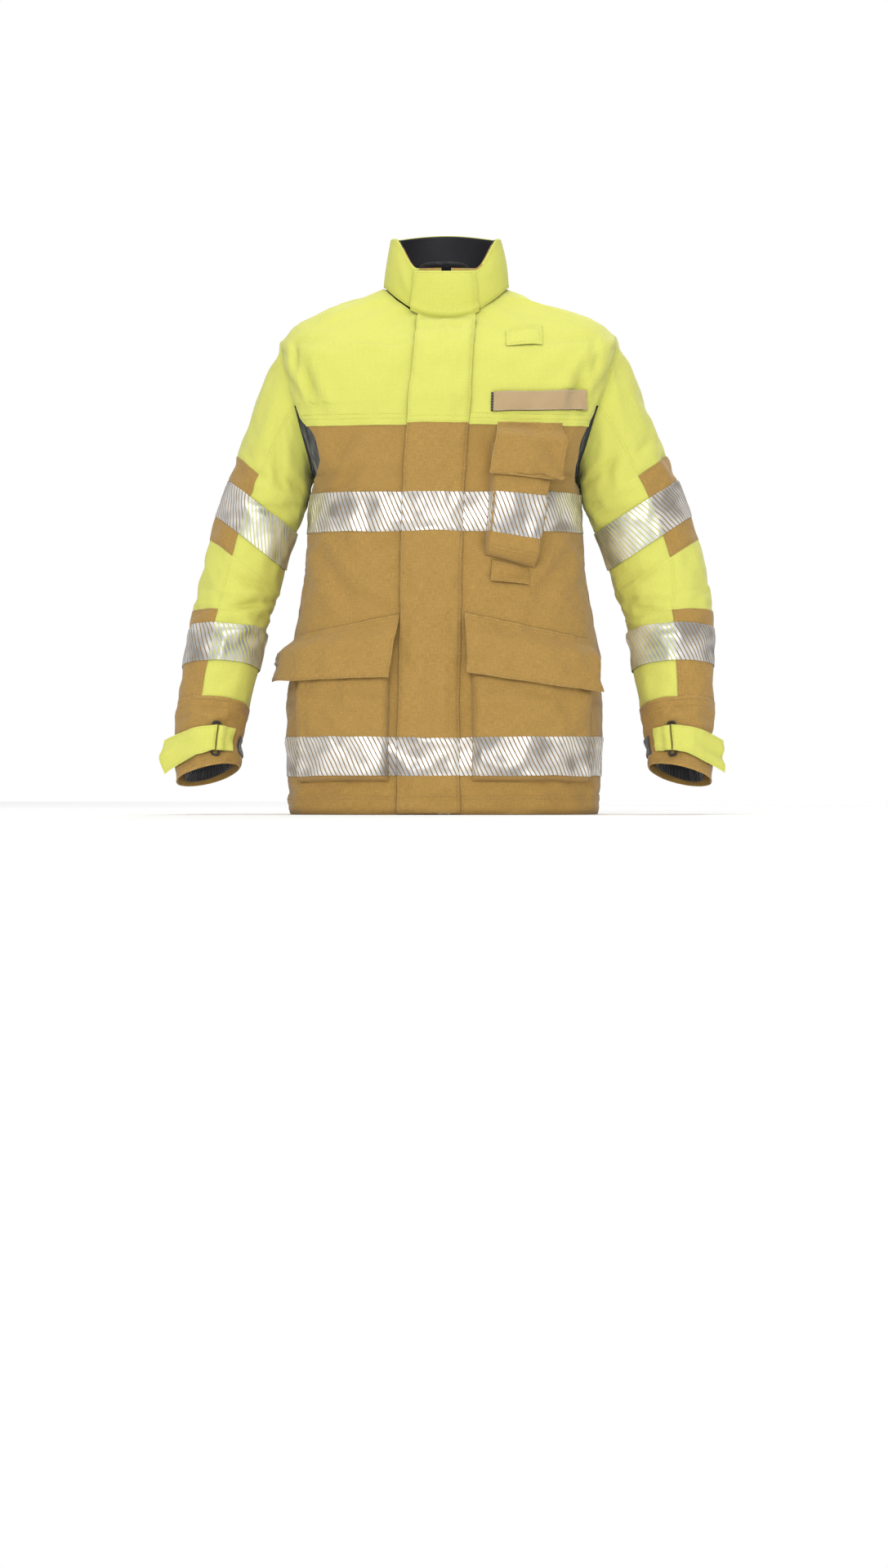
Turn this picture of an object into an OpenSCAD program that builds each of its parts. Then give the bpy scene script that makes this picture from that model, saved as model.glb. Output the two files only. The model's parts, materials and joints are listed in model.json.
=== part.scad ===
// Firefighter's turnout coat, closed, standing open on its hem as if worn.
// Front is -Y, the wearer's left is +X, up is +Z. Millimetres.

/* [Coat body] */
// Half width of the coat at the hem
hem_half_w = 199; // [180:1:215]
// Half width of the coat under the arms
chest_half_w = 170; // [150:1:180]
// Height of the seam between yoke and lower panels
yoke_h = 507; // [490:1:520]
// Thickness of the outer shell fabric
shell_t = 3; // [2:0.5:3.5]
// Thickness of the quilted inner lining
lining_t = 3; // [2:0.5:3.5]

/* [Collar] */
// Half width of the collar at its seam
collar_half_w = 78; // [70:1:85]
// Height of the collar's front top edge
collar_front_h = 706; // [690:1:715]
// Height of the collar's back top edge
collar_back_h = 750; // [735:1:760]

/* [Front closure] */
// Left edge of the storm flap (free edge, wearer's right)
flap_free_x = -54; // [-60:1:-45]
// Sewn edge of the storm flap (wearer's left)
flap_sewn_x = 31; // [25:1:33]
// Half width of the gap that holds the zip
zip_gap = 8; // [7:0.5:9]

/* [Reflective tape] */
// Width of the reflective tape
tape_w = 50; // [40:1:55]
// Height of the chest tape's lower edge
chest_tape_h = 365; // [350:1:380]
// Height of the hem tape's lower edge
hem_tape_h = 51; // [48:1:60]

/* [Pockets] */
// Height of the lower pocket bags' bottom edge
pocket_bottom_h = 44; // [42:1:46]
// How far the lower pocket bags stand out
pocket_depth = 13; // [8:1:16]
// How far the radio pocket stands out
radio_depth = 22; // [15:1:26]

/* [Sleeves] */
// Half depth of the armhole
armhole_half_d = 72; // [65:1:75]
// Thickness of the sleeve laminate
sleeve_t = 4; // [3:0.5:5]
// Thickness of the knitted wristlet
wristlet_t = 3; // [2:0.5:4]

/* [Hidden] */
side_y = 15;                       // the side seams' place from front to back
armhole_top = [215, 612];          // shoulder point, x and z
armhole_low = [chest_half_w, 440]; // underarm point, x and z
gap = 0.6;                         // clearance between neighbouring fabric layers
panel_columns = 9;
neck_h = 680;                      // row value of the neck seam
shoulder_h = 600;                  // row above which the edge runs along the shoulder
eps_h = 1;                         // step for the surface's slope, in row height
eps_a = 0.5;                       // step for the surface's slope, in degrees
gusset_low = 415;
gusset_top = 532;
gusset_dip = 30;                   // how far the gusset reaches into the front, in degrees
tape_t = 0.8;
flap_t = 4;
flap_stand = 5;                    // space under the storm flap, for the zip slider

lower_rows = [0, 90, 180, 260, 330, 390, 415, 430, 441, 452, 475];
upper_rows = [532, 565, 590, 604, 618, 632, 648, 664];

// Half width along the side seam, by height
side_curve = [[0, hem_half_w], [100, hem_half_w + 4], [200, hem_half_w], [310, 182], [390, 176],
              [440, chest_half_w], [460, chest_half_w]];
// Centre front: [row, [y, z]]
front_curve = [[-20, [-143, -20]], [0, [-143, 0]], [100, [-143, 100]], [200, [-141, 200]],
               [310, [-138, 310]], [440, [-135, 440]], [530, [-130, 530]], [570, [-122, 570]],
               [600, [-110, 599]], [640, [-84, 623]], [neck_h, [-53, 640]], [700, [-38, 650]]];
// Centre back: [row, [y, z]]
back_curve = [[-20, [147, -20]], [0, [147, 0]], [100, [144, 100]], [200, [142, 200]],
              [310, [146, 310]], [440, [152, 440]], [530, [157, 530]], [570, [156, 570]],
              [600, [150, 602]], [640, [122, 655]], [neck_h, [77, 692]], [700, [50, 704]]];
// Shoulder line from the top of the armhole to the neck: [row, [x, y behind side_y, z]]
shoulder_curve = [[600, [211.9, -36.7, 600]], [610, [214.6, -16, 609]], [620, [209, 0, 622]],
                  [640, [181, 0, 643]], [652, [150, 0, 658]], [666, [108, 0, 673]],
                  [neck_h, [collar_half_w, 0, 684]], [700, [40, 0, 696]]];
// Squareness of the body's cross-section, by row
square_curve = [[0, 3], [440, 3], [560, 2.7], [640, 2.3], [neck_h, 2], [700, 2]];

// Sleeve rings from armhole to cuff: [station, [outer x, outer z, inner x, inner z,
//   centre y, half depth, tilt in degrees]]
sleeve_curve = [
    [0, [armhole_top[0], armhole_top[1], armhole_low[0], armhole_low[1], 15, armhole_half_d, 0]],
    [1, [245, 550, 173, 425, 15, 72, 0]],
    [2, [268, 492, 180, 402, 15, 70, 0]],
    [3, [282, 452, 189, 381, 14, 68, 0]],
    [4, [298, 411, 203, 344, 12, 65, 0]],
    [5, [315, 357, 219, 290, 9, 62, 0]],
    [6, [328, 300, 227, 268, 5, 60, 4]],
    [7, [335, 264, 232, 252, 0, 58, 8]],
    [8, [340, 215, 239, 212, -12, 55, 12]],
    [9, [345, 146, 254, 138, -30, 48, 14]],
    [10, [346, 92, 263, 92, -42, 44, 15]],
    [11, [345, 48, 266, 52, -52, 43, 15]]];
head_start = 0.15;    // clear of the armhole
head_end = 2.6;       // station where the stiff upper sleeve starts
elbow_start = 5;      // stations of the soft elbow section
elbow_end = 7;
cuff_start = 9;
sleeve_columns = 16;
upper_tape_st = [3.45, 4.45];   // stations of the sleeve tapes
lower_tape_st = [7.5, 8.36];
sleeve_tape_d = 1.9;  // the tape rings clear the corners of the sleeve's facets
insert_half = 63;     // half width of the upper sleeve's outer insert, in degrees
lower_insert_half = 80;

lime = [0.87, 0.89, 0.35];
khaki = [0.62, 0.47, 0.24];
silver = [0.78, 0.78, 0.76];
charcoal = [0.17, 0.18, 0.2];
black = [0.08, 0.08, 0.09];
sand = [0.72, 0.6, 0.45];

// ---- curves ----
function unit(v) = v / norm(v);
function clamp01(t) = max(0, min(1, t));
function mix(a, b, t) = a + (b - a) * t;
function span(t, k, i = 0) = (i >= len(t) - 2 || k < t[i + 1][0]) ? i : span(t, k, i + 1);
function slope(t, i) =
    let (a = max(i - 1, 0), b = min(i + 1, len(t) - 1))
    (t[b][1] - t[a][1]) / (t[b][0] - t[a][0]);
// Smooth curve through [key, value] points
function smooth(t, k) =
    let (i = span(t, k), w = t[i + 1][0] - t[i][0], s = clamp01((k - t[i][0]) / w), r = 1 - s)
    t[i][1] * (1 + 2 * s) * r * r + slope(t, i) * w * s * r * r
    + t[i + 1][1] * s * s * (3 - 2 * s) - slope(t, i + 1) * w * s * s * r;

// ---- coat body surface: angle 0 is the centre, 90 the side seam or the armhole ----
armhole_mid = (armhole_top + armhole_low) / 2;
armhole_axis = (armhole_top - armhole_low) / 2;
// [x, y in front of side_y, z] of the side seam, armhole edge or shoulder line at row h
function edge(h) =
    h <= armhole_low[1] ? [smooth(side_curve, h), 0, h]
    : h <= shoulder_h
        ? let (c = (h - armhole_mid[1]) / armhole_axis[1])
            [armhole_mid[0] + armhole_axis[0] * c, -armhole_half_d * sqrt(max(0, 1 - c * c)), h]
        : smooth(shoulder_curve, h);
// face is -1 for the front and 1 for the back
function body_point(face, a, h) =
    let (e = edge(h), c = smooth(face < 0 ? front_curve : back_curve, h),
         p = 2 / smooth(square_curve, h), u = pow(sin(a), p), v = pow(max(0, cos(a)), p),
         ey = side_y - face * e[1])
    [e[0] * u, ey + (c[0] - ey) * v, c[1] + (e[2] - c[1]) * u * u];
function normal(face, a, h) =
    let (a0 = max(0.01, a - eps_a), a1 = min(90, a + eps_a),
         da = body_point(face, a1, h) - body_point(face, a0, h),
         dh = body_point(face, a, h + eps_h) - body_point(face, a, h - eps_h),
         n = cross(da, dh) * -face)
    unit([n[0], n[1], h <= 0 ? 0 : n[2]]);   // level at the hem, so that its edge is flat
function on_body(face, a, h, d) = body_point(face, a, h) + normal(face, a, h) * d;
// Angle at which the surface stands at a given x
function angle_at(x, h) =
    asin(clamp01(pow(clamp01(abs(x) / edge(h)[0]), smooth(square_curve, h) / 2)));
// Point on the front at any x, on either side
function on_front(x, h, d) =
    let (q = on_body(-1, max(0.02, angle_at(x, h)), h, d), s = x < 0 ? -1 : 1)
    [s * q[0], q[1], q[2]];
// Where a panel stops at the side, at height d: short of the gusset, or at the seam, mitred along
// the shoulder so that the front and the back don't cross inside it
seam_stop = 89.85;
shoulder_clear = 0.3;              // gap at the shoulder line, in degrees
shoulder_mitre = 0.5;              // and more for each millimetre of depth
function side_stop(h, d) =
    (h > gusset_low && h < gusset_top)
    ? min(seam_stop, seam_stop - gusset_dip * sin(180 * (gusset_top - h) / (gusset_top - gusset_low)))
    : seam_stop - (h > shoulder_h ? shoulder_clear + shoulder_mitre * abs(d) : 0);

// ---- solids from grids of points: rows run upwards, columns run anticlockwise from above ----
module skin(outer, inner, closed = false) {
    rows = len(outer);
    cols = len(outer[0]);
    count = rows * cols;
    last = closed ? cols - 1 : cols - 2;
    pts = concat([for (r = outer) for (q = r) q], [for (r = inner) for (q = r) q]);
    faces = concat(
        [for (i = [0 : rows - 2]) for (j = [0 : last]) let (a = i * cols + j,
            b = i * cols + (j + 1) % cols) each [[a, a + cols, b + cols], [a, b + cols, b]]],
        [for (i = [0 : rows - 2]) for (j = [0 : last]) let (a = count + i * cols + j,
            b = count + i * cols + (j + 1) % cols) each [[a, b + cols, a + cols], [a, b, b + cols]]],
        [for (j = [0 : last]) let (b = (j + 1) % cols)
            each [[j, b, count + b], [j, count + b, count + j]]],
        [for (j = [0 : last]) let (a = (rows - 1) * cols + j, b = (rows - 1) * cols + (j + 1) % cols)
            each [[a, count + b, b], [a, count + a, count + b]]],
        closed ? [] : [for (i = [0 : rows - 2]) let (a = i * cols)
            each [[a, count + a, count + a + cols], [a, count + a + cols, a + cols]]],
        closed ? [] : [for (i = [0 : rows - 2]) let (a = i * cols + cols - 1)
            each [[a, count + a + cols, count + a], [a, a + cols, count + a + cols]]]);
    polyhedron(points = pts, faces = faces);
}

// Front half panel on the wearer's left, between depths d0 (outer) and d1 (inner)
module front_half(rows, start_x, d0, d1) {
    function grid(d) = [for (h = rows) let (a0 = angle_at(start_x, h), a1 = side_stop(h, d))
        [for (k = [0 : panel_columns]) on_body(-1, mix(a0, a1, k / panel_columns), h, d)]];
    skin(grid(d0), grid(d1));
}
// Whole back panel from side to side
module back_whole(rows, d0, d1) {
    function grid(d) = [for (h = rows) let (a1 = side_stop(h, d))
        [for (k = [-panel_columns : panel_columns])
            let (a = max(0.02, abs(k) * a1 / panel_columns), q = on_body(1, a, h, d))
            [k > 0 ? -q[0] : (k < 0 ? q[0] : 0), q[1], q[2]]]];
    skin(grid(d0), grid(d1));
}
module on_both(side) {
    mirror([side < 0 ? 1 : 0, 0, 0]) children();
}
lower_panel_rows = concat(lower_rows, [yoke_h - gap]);
yoke_rows = concat([yoke_h + gap], upper_rows, [neck_h - gap]);
lining_rows = concat([12], [for (i = [1 : len(lower_rows) - 1]) lower_rows[i]], [yoke_h],
                     upper_rows, [neck_h - gap]);

module front_panel(side) {
    color(khaki) on_both(side) front_half(lower_panel_rows, zip_gap, 0, -shell_t);
}
module yoke_front(side) {
    color(lime) on_both(side) front_half(yoke_rows, zip_gap, 0, -shell_t);
}
module back_panel() {
    color(khaki) back_whole(lower_panel_rows, 0, -shell_t);
}
module yoke_back() {
    color(lime) back_whole(yoke_rows, 0, -shell_t);
}
lining_out = -shell_t - 2;
module lining_front(side) {
    color(charcoal) on_both(side)
        front_half(lining_rows, 2 * zip_gap, lining_out, lining_out - lining_t);
}
module lining_back() {
    color(charcoal) back_whole(lining_rows, lining_out, lining_out - lining_t);
}

// Spindle of stretch fabric under the arm, front to back, along the armhole's lower edge
gusset_steps = 9;
gusset_fill = 0.88;   // share of the cut-out that the gusset takes up, leaving its seams
gusset_edge = 89.6;   // where it stops beside the armhole, in degrees
gusset_ends = 0.985;  // share of its length, short of both points
gusset_clear = [3, 1, 5];   // short of the cut-out at its top, body edge and arm edge
module underarm_gusset(side) {
    top = gusset_top - gusset_clear[0];
    function strip(s, d) =
        let (f = abs(s), face = s <= 0 ? -1 : 1, low = 1 - f,
             h_arm = mix(top, armhole_low[1] - gusset_clear[2], low),
             h_body = mix(top, gusset_low + gusset_clear[1], low),
             a_body = gusset_edge - gusset_dip * gusset_fill * sin(180 * low))
        [for (k = [0 : 3])
            on_body(face, mix(a_body, gusset_edge, k / 3), mix(h_body, h_arm, k / 3), d)];
    function grid(d) = [for (k = [0 : 3]) [for (i = [-gusset_steps : gusset_steps])
        strip(i * gusset_ends / gusset_steps, d)[k]]];
    color(charcoal) on_both(side) skin(grid(-0.2), grid(-shell_t));
}

// ---- collar ----
collar_low = [642, 686, 694];               // seam heights at the front, side and back
collar_top = [collar_front_h, 742, collar_back_h];
collar_half_d = [65, 62];                   // half depth at the seam and at the top
collar_y = [12, 8];                         // centre from front to back, at the seam and top
collar_top_half_w = 70;
function around(h, t) =
    h[1] + (h[0] - h[1]) * pow(max(0, -sin(t)), 2) + (h[2] - h[1]) * pow(max(0, sin(t)), 2);
function collar_ring(t, w) =
    [mix(collar_half_w, collar_top_half_w, w) * cos(t),
     mix(collar_y[0], collar_y[1], w) + mix(collar_half_d[0], collar_half_d[1], w) * sin(t),
     mix(around(collar_low, t), around(collar_top, t), w)];
function collar_out(t) = unit([cos(t) * collar_half_d[0], sin(t) * collar_half_w, 0]);
module collar_band(d0, d1, low, top, half_gap) {
    steps = 28;
    function ring(w, d) = [for (i = [0 : steps]) let (t = mix(-90 + half_gap, 270 - half_gap, i / steps),
        q = collar_ring(t, w)) q + collar_out(t) * d];
    skin([for (w = [0 : 3]) ring(mix(low, top, w / 3), d0)],
         [for (w = [0 : 3]) ring(mix(low, top, w / 3), d1)]);
}
module collar_shell() {
    color(lime) collar_band(0, -shell_t, 0.02, 1, 5);
}
module collar_lining() {
    color(khaki) collar_band(-shell_t - gap, -2 * shell_t - gap, 0.05, 0.985, 9);
}
// Loop of tape inside the back of the neck
module hanger_loop() {
    outside = [70, 24];
    hole = [54, 10];
    place = [0, 57.5, 712];
    color(black) translate(place) rotate([90, 0, 0]) linear_extrude(height = 1.6)
        difference() {
            square(outside, center = true);
            square(hole, center = true);
        }
}

// ---- zip ----
zip_low = [-141.8, 30];  // y and z of the zip's straight run
zip_top = [-129.5, 530];
zip_lean = atan2(zip_top[0] - zip_low[0], zip_top[1] - zip_low[1]);
zip_run = norm(zip_top - zip_low);
zip_tape_w = 13;
zip_tape_back = 3.6;   // how far the tapes lie behind the zip's face
tooth_pitch = 8;
tooth = [3.4, 2.2, 2.1];
tooth_back = 1.2;
slider_z = 470;        // the closed slider's place along the zip
slider_back = 0.7;
slider_t = 1.8;
knob_z = 9;            // the pull's pivot above the slider's lower end
knob_d = 3;
knob_out = 5.1;        // how far the pivot reaches out, past the pull
pull_out = 3.8;        // the pull clears the tape beside the zip and the flap over it
pull_t = 1.2;
pull_w = 10;
pull_below = 30;
pull_above = 16;
module on_zip() {
    translate([0, zip_low[0], zip_low[1]]) rotate([-zip_lean, 0, 0]) children();
}
module zip_tapes() {
    color(black) on_zip() for (x = [0.4, -0.4 - zip_tape_w])
        translate([x, zip_tape_back, 0]) cube([zip_tape_w, tape_t, zip_run]);
}
module zip_teeth() {
    overlap = 0.6;
    color(sand) on_zip() for (i = [0 : floor(zip_run / tooth_pitch) - 1])
        for (s = [0, 1])
            translate([s * (tooth[0] - 2 * overlap) - tooth[0] + overlap, tooth_back,
                       (i + (1 - s) / 2) * tooth_pitch]) cube(tooth);
}
module zip_slider() {
    color(black) on_zip() translate([0, slider_back, slider_z]) rotate([90, 0, 0]) {
        linear_extrude(height = slider_t)
            polygon([[-5.5, 0], [5.5, 0], [6, 10], [4, 18], [-4, 18], [-6, 10]]);
        translate([0, knob_z, slider_t]) cylinder(d = knob_d, h = knob_out + slider_back - slider_t,
            $fn = 24);
    }
}
module zip_pull() {
    color(black) on_zip() translate([0, -pull_out, slider_z]) rotate([90, 0, 0])
        linear_extrude(height = pull_t) difference() {
            translate([-pull_w / 2, -pull_below]) square([pull_w, pull_below + pull_above]);
            translate([0, knob_z]) circle(d = knob_d + 1.4, $fn = 24);
        }
}

// ---- storm flap over the zip ----
flap_bottom_h = 4;
flap_split_h = 560;
flap_top_h = 668;
function flap_line(h0, h1, d) = [for (i = [0 : 14]) let (h = mix(h0, h1, i / 14),
    c = smooth(front_curve, h), t = unit(smooth(front_curve, h + 4) - smooth(front_curve, h - 4)))
    c + [-t[1], t[0]] * d];
module flap_slab(h0, h1, d0, d1, x0, x1) {
    // Profile in y and z, drawn out along x
    profile = concat(flap_line(h0, h1, d1), [for (i = [14 : -1 : 0]) flap_line(h0, h1, d0)[i]]);
    translate([x0, 0, 0]) rotate([90, 0, 90]) linear_extrude(height = x1 - x0)
        polygon(profile);
}
module storm_flap() {
    color(khaki) flap_slab(flap_bottom_h, flap_split_h - gap, flap_stand, flap_stand + flap_t,
                           flap_free_x, flap_sewn_x);
}
module storm_flap_top() {
    color(lime) flap_slab(flap_split_h + gap, flap_top_h, flap_stand, flap_stand + flap_t,
                          flap_free_x, flap_sewn_x);
}
module storm_flap_tapes() {
    d = flap_stand + flap_t + 0.2;
    color(silver) {
        flap_slab(chest_tape_h, chest_tape_h + tape_w, d, d + tape_t, flap_free_x, flap_sewn_x);
        flap_slab(hem_tape_h, hem_tape_h + tape_w, d, d + tape_t, flap_free_x, flap_sewn_x);
    }
}
// Tab that closes the collar's front
tab_free_t = -90 - 33;
tab_sewn_t = -90 + 31;
module collar_tab() {
    function ring(w, d) = [for (i = [0 : 12]) let (t = mix(tab_free_t, tab_sewn_t, i / 12),
        q = collar_ring(t, w)) q + collar_out(t) * d];
    over_collar = 1.2;
    color(lime) skin([for (w = [0 : 3]) ring(mix(0.06, 0.97, w / 3), over_collar + shell_t)],
                     [for (w = [0 : 3]) ring(mix(0.06, 0.97, w / 3), over_collar)]);
}

// ---- patches that lie on the front ----
// Four corners as [x, h]: lower inner, lower outer, upper outer, upper inner
function patch_at(c, u, v) = mix(mix(c[0], c[1], u), mix(c[3], c[2], u), v);
module front_patch(c, low, t, cols = 6, rows = 3) {
    function grid(d) = [for (i = [0 : rows]) [for (j = [0 : cols])
        let (q = patch_at(c, j / cols, i / rows)) on_front(q[0], q[1], d)]];
    skin(grid(low + t), grid(low));
}
pouch_t = 2.4;
pouch_base = 2.6;     // sewn edge of a bag, clear of the tape under it
pouch_rise = 0.12;    // share of the bag's width over which its side wall rises
pouch_columns = 10;
flap_over = 2;        // clearance of a pocket flap over its bag
cargo_flap_t = 3;
over_bag = pouch_base + pocket_depth + pouch_t + flap_over;
over_radio = pouch_base + radio_depth + pouch_t + flap_over;
// Points of a bag sewn down at both sides and along the bottom, open at the top
function wall(t) = pow(clamp01(t / pouch_rise), 0.6);
function pouch_grid(c, depth, levels, extra) = [for (v = levels)
    [for (j = [0 : pouch_columns]) let (u = 0.5 - 0.5 * cos(180 * j / pouch_columns),
        q = patch_at(c, u, v), lift = depth * wall(min(u, 1 - u)) * wall(v))
        on_front(q[0], q[1], pouch_base + lift + extra)]];
module pouch(c, depth, levels) {
    skin(pouch_grid(c, depth, levels, pouch_t), pouch_grid(c, depth, levels, 0));
}
bag_top = 200;
bag_side = 183;
cargo_bag_left = [[36, pocket_bottom_h], [bag_side, pocket_bottom_h], [bag_side, bag_top], [36, bag_top]];
cargo_bag_right = [[70, pocket_bottom_h], [bag_side, pocket_bottom_h], [bag_side, bag_top], [70, bag_top]];
// Levels of a lower bag, shared with the tape across it so that both have the same facets
tape_levels = [for (t = [0 : 0.25 : 1])
    (hem_tape_h + tape_w * pow(t, 1.3) - pocket_bottom_h) / (bag_top - pocket_bottom_h)];
cargo_levels = concat([0], tape_levels, [0.55, 0.78, 1]);
radio_levels = [0, 0.06, 0.12, 0.3, 0.5, 0.75, 1];
cargo_flap_left_c = [[36, 182], [193, 166], [184, 214], [35, 240]];
cargo_flap_right_c = [[70, 178], [193, 174], [184, 214], [58, 240]];
module cargo_pocket(side, c) {
    color(khaki) on_both(side) pouch(c, pocket_depth, cargo_levels);
}
module cargo_flap(side, c) {
    color(khaki) on_both(side) front_patch(c, over_bag, cargo_flap_t, 9, 3);
}
radio_bag = [[60, 333], [122, 318], [142, 478], [68, 478]];
radio_flap_c = [[60, 438], [152, 430], [160, 486], [70, 488]];
radio_tab_c = [[61, 301], [108, 297], [108, 317], [62, 327]];
module radio_pocket() {
    color(khaki) pouch(radio_bag, radio_depth, radio_levels);
}
module radio_pocket_flap() {
    color(khaki) front_patch(radio_flap_c, over_radio, cargo_flap_t, 7, 3);
}
module radio_pocket_tab() {
    color(khaki) front_patch(radio_tab_c, 2 * gap, cargo_flap_t);
}
name_c = [[60, 518], [177, 522], [177, 546], [60, 542]];
hook_t = 1.4;
strip_over_hook = 0.5;
strip_t = 1.6;
strip_shift = [2.5, 0.5];   // the strip is stuck on slightly out of line with its hook strip
module name_strip_hook() {
    color(black) front_patch(name_c, gap, hook_t, 8, 2);
}
module name_strip() {
    color(sand) front_patch([for (q = name_c) q + strip_shift], gap + hook_t + strip_over_hook,
        strip_t, 8, 2);
}
module microphone_loop() {
    color(lime) front_patch([[79, 604], [125, 607], [125, 640], [79, 637]], gap, 2);
}

// ---- reflective tape on the body ----
tape_stop = 89.8;     // where its lengths stop at the side seam, in degrees
tape_over_bag = 0.5;
module body_tape(h) {
    rows = [h, h + tape_w / 2, h + tape_w];
    function back_grid(d) = [for (r = rows) [for (k = [-panel_columns : panel_columns])
        let (a = max(0.02, abs(k) * tape_stop / panel_columns), q = on_body(1, a, r, d))
        [k > 0 ? -q[0] : (k < 0 ? q[0] : 0), q[1], q[2]]]];
    function front_grid(d) = [for (r = rows) let (a0 = angle_at(zip_gap, r))
        [for (k = [0 : panel_columns]) on_body(-1, mix(a0, tape_stop, k / panel_columns), r, d)]];
    skin(back_grid(gap + tape_t), back_grid(gap));
    for (side = [-1, 1]) on_both(side) skin(front_grid(gap + tape_t), front_grid(gap));
}
// Tape across a pocket bag, following the bag's own bulge
module bag_tape(c) {
    low = pouch_t + tape_over_bag;
    skin(pouch_grid(c, pocket_depth, tape_levels, low + tape_t),
         pouch_grid(c, pocket_depth, tape_levels, low));
}
module chest_tape() {
    color(silver) body_tape(chest_tape_h);
}
module hem_tape() {
    color(silver) {
        body_tape(hem_tape_h);
        bag_tape(cargo_bag_left);
        mirror([1, 0, 0]) bag_tape(cargo_bag_right);
    }
}

// ---- sleeves: station 0 is the armhole, 11 the cuff's edge; angle 0 is the outer side ----
function sleeve_point(st, t, d) =
    let (q = smooth(sleeve_curve, st), half = [(q[0] - q[2]) / 2, 0, (q[1] - q[3]) / 2],
         across = unit(half), back = [0, cos(q[6]), -sin(q[6])])
    [(q[0] + q[2]) / 2, q[4], (q[1] + q[3]) / 2]
    + across * (norm(half) + d) * cos(t) + back * (q[5] + d) * sin(t);
// Stations from the lower end up, so that rows run upwards
function stations(high, low, steps) = [for (i = [0 : steps]) mix(low, high, i / steps)];
module sleeve_tube(high, low, steps, d0, d1) {
    function grid(d) = [for (st = stations(high, low, steps)) [for (k = [0 : sleeve_columns - 1])
        sleeve_point(st, 360 * k / sleeve_columns, d)]];
    skin(grid(d0), grid(d1), closed = true);
}
module sleeve_panel(high, low, steps, t0, t1, columns, d0, d1) {
    function grid(d) = [for (st = stations(high, low, steps)) [for (k = [0 : columns])
        sleeve_point(st, mix(t0, t1, k / columns), d)]];
    skin(grid(d0), grid(d1));
}
seam = 0.012;       // clearance between sleeve pieces, in stations
seam_angle = 0.5;
module sleeve_head(side) {
    color(lime) on_both(side) sleeve_tube(head_start, head_end - seam, 5, 0, -sleeve_t);
}
module upper_sleeve(side) {
    color(lime) on_both(side) sleeve_panel(head_end, elbow_start, 4, insert_half + seam_angle,
        360 - insert_half - seam_angle, 11, 0, -sleeve_t);
}
module upper_insert(side) {
    color(khaki) on_both(side) sleeve_panel(head_end, elbow_start, 4, -insert_half, insert_half, 6,
        0, -sleeve_t);
}
module upper_tape(side) {
    color(silver) on_both(side) sleeve_tube(upper_tape_st[0], upper_tape_st[1], 2,
        sleeve_tape_d + tape_t, sleeve_tape_d);
}
module elbow_section(side) {
    color(lime) on_both(side) sleeve_tube(elbow_start + seam, elbow_end - seam, 4, 0, -sleeve_t);
}
module lower_sleeve(side) {
    color(lime) on_both(side) sleeve_panel(elbow_end, cuff_start, 3, lower_insert_half + seam_angle,
        360 - lower_insert_half - seam_angle, 9, 0, -sleeve_t);
}
module lower_insert(side) {
    color(khaki) on_both(side) sleeve_panel(elbow_end, cuff_start, 3, -lower_insert_half,
        lower_insert_half, 8, 0, -sleeve_t);
}
module lower_tape(side) {
    color(silver) on_both(side) sleeve_tube(lower_tape_st[0], lower_tape_st[1], 2,
        sleeve_tape_d + tape_t, sleeve_tape_d);
}
module cuff(side) {
    color(khaki) on_both(side) sleeve_tube(cuff_start + seam, 11, 3, 0, -sleeve_t);
}
module wristlet(side) {
    color(charcoal) on_both(side) sleeve_tube(9.5, 10.9, 2, -sleeve_t - 5, -sleeve_t - 5 - wristlet_t);
}
// Cuff strap: a loop of strap, an oblong ring and the strap's free length
strap_high = 9.72;
strap_low = 10.5;
strap_t = 2;
ring_angle = -105;
ring_bar = 3;
ring_w = 12;
ring_h = 46;
strap_d = 2.5;     // height of the strap over the cuff
strap_tail = 44;
strap_leave = -48; // angle at which the free end leaves the cuff
function ring_frame() =
    let (m = (strap_high + strap_low) / 2, p = sleeve_point(m, ring_angle, strap_d),
         t = unit(sleeve_point(m, ring_angle + 2, strap_d) - sleeve_point(m, ring_angle - 2, strap_d)),
         u0 = sleeve_point(m - 0.2, ring_angle, strap_d) - p, u = unit(u0 - t * (u0 * t)))
    [t, u, cross(t, u), p];
module cuff_strap_anchor(side) {
    color(lime) on_both(side) sleeve_panel(strap_high, strap_low, 2, ring_angle - 32,
        ring_angle - 9.5, 4, gap + 2 * strap_t, gap);
}
module cuff_ring(side) {
    f = ring_frame();
    color(black) on_both(side)
        multmatrix([[f[0][0], f[1][0], f[2][0], f[3][0]], [f[0][1], f[1][1], f[2][1], f[3][1]],
                    [f[0][2], f[1][2], f[2][2], f[3][2]], [0, 0, 0, 1]])
        linear_extrude(height = ring_bar) difference() {
            square([ring_w, ring_h], center = true);
            square([ring_w - 2 * ring_bar, ring_h - 2 * ring_bar], center = true);
        }
}
module cuff_strap(side) {
    along = 6;
    tail_steps = 3;
    function row(st, d) =
        let (leave = sleeve_point(st, strap_leave, d),
             t = unit(leave - sleeve_point(st, strap_leave - 3, d)))
        concat([for (k = [0 : along]) sleeve_point(st, mix(ring_angle + 10, strap_leave, k / along), d)],
               [for (k = [1 : tail_steps]) leave + t * strap_tail * k / tail_steps]);
    function grid(d) = [for (st = stations(strap_high, strap_low, 2)) row(st, d)];
    color(lime) on_both(side) skin(grid(strap_d + strap_t), grid(strap_d));
}

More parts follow.
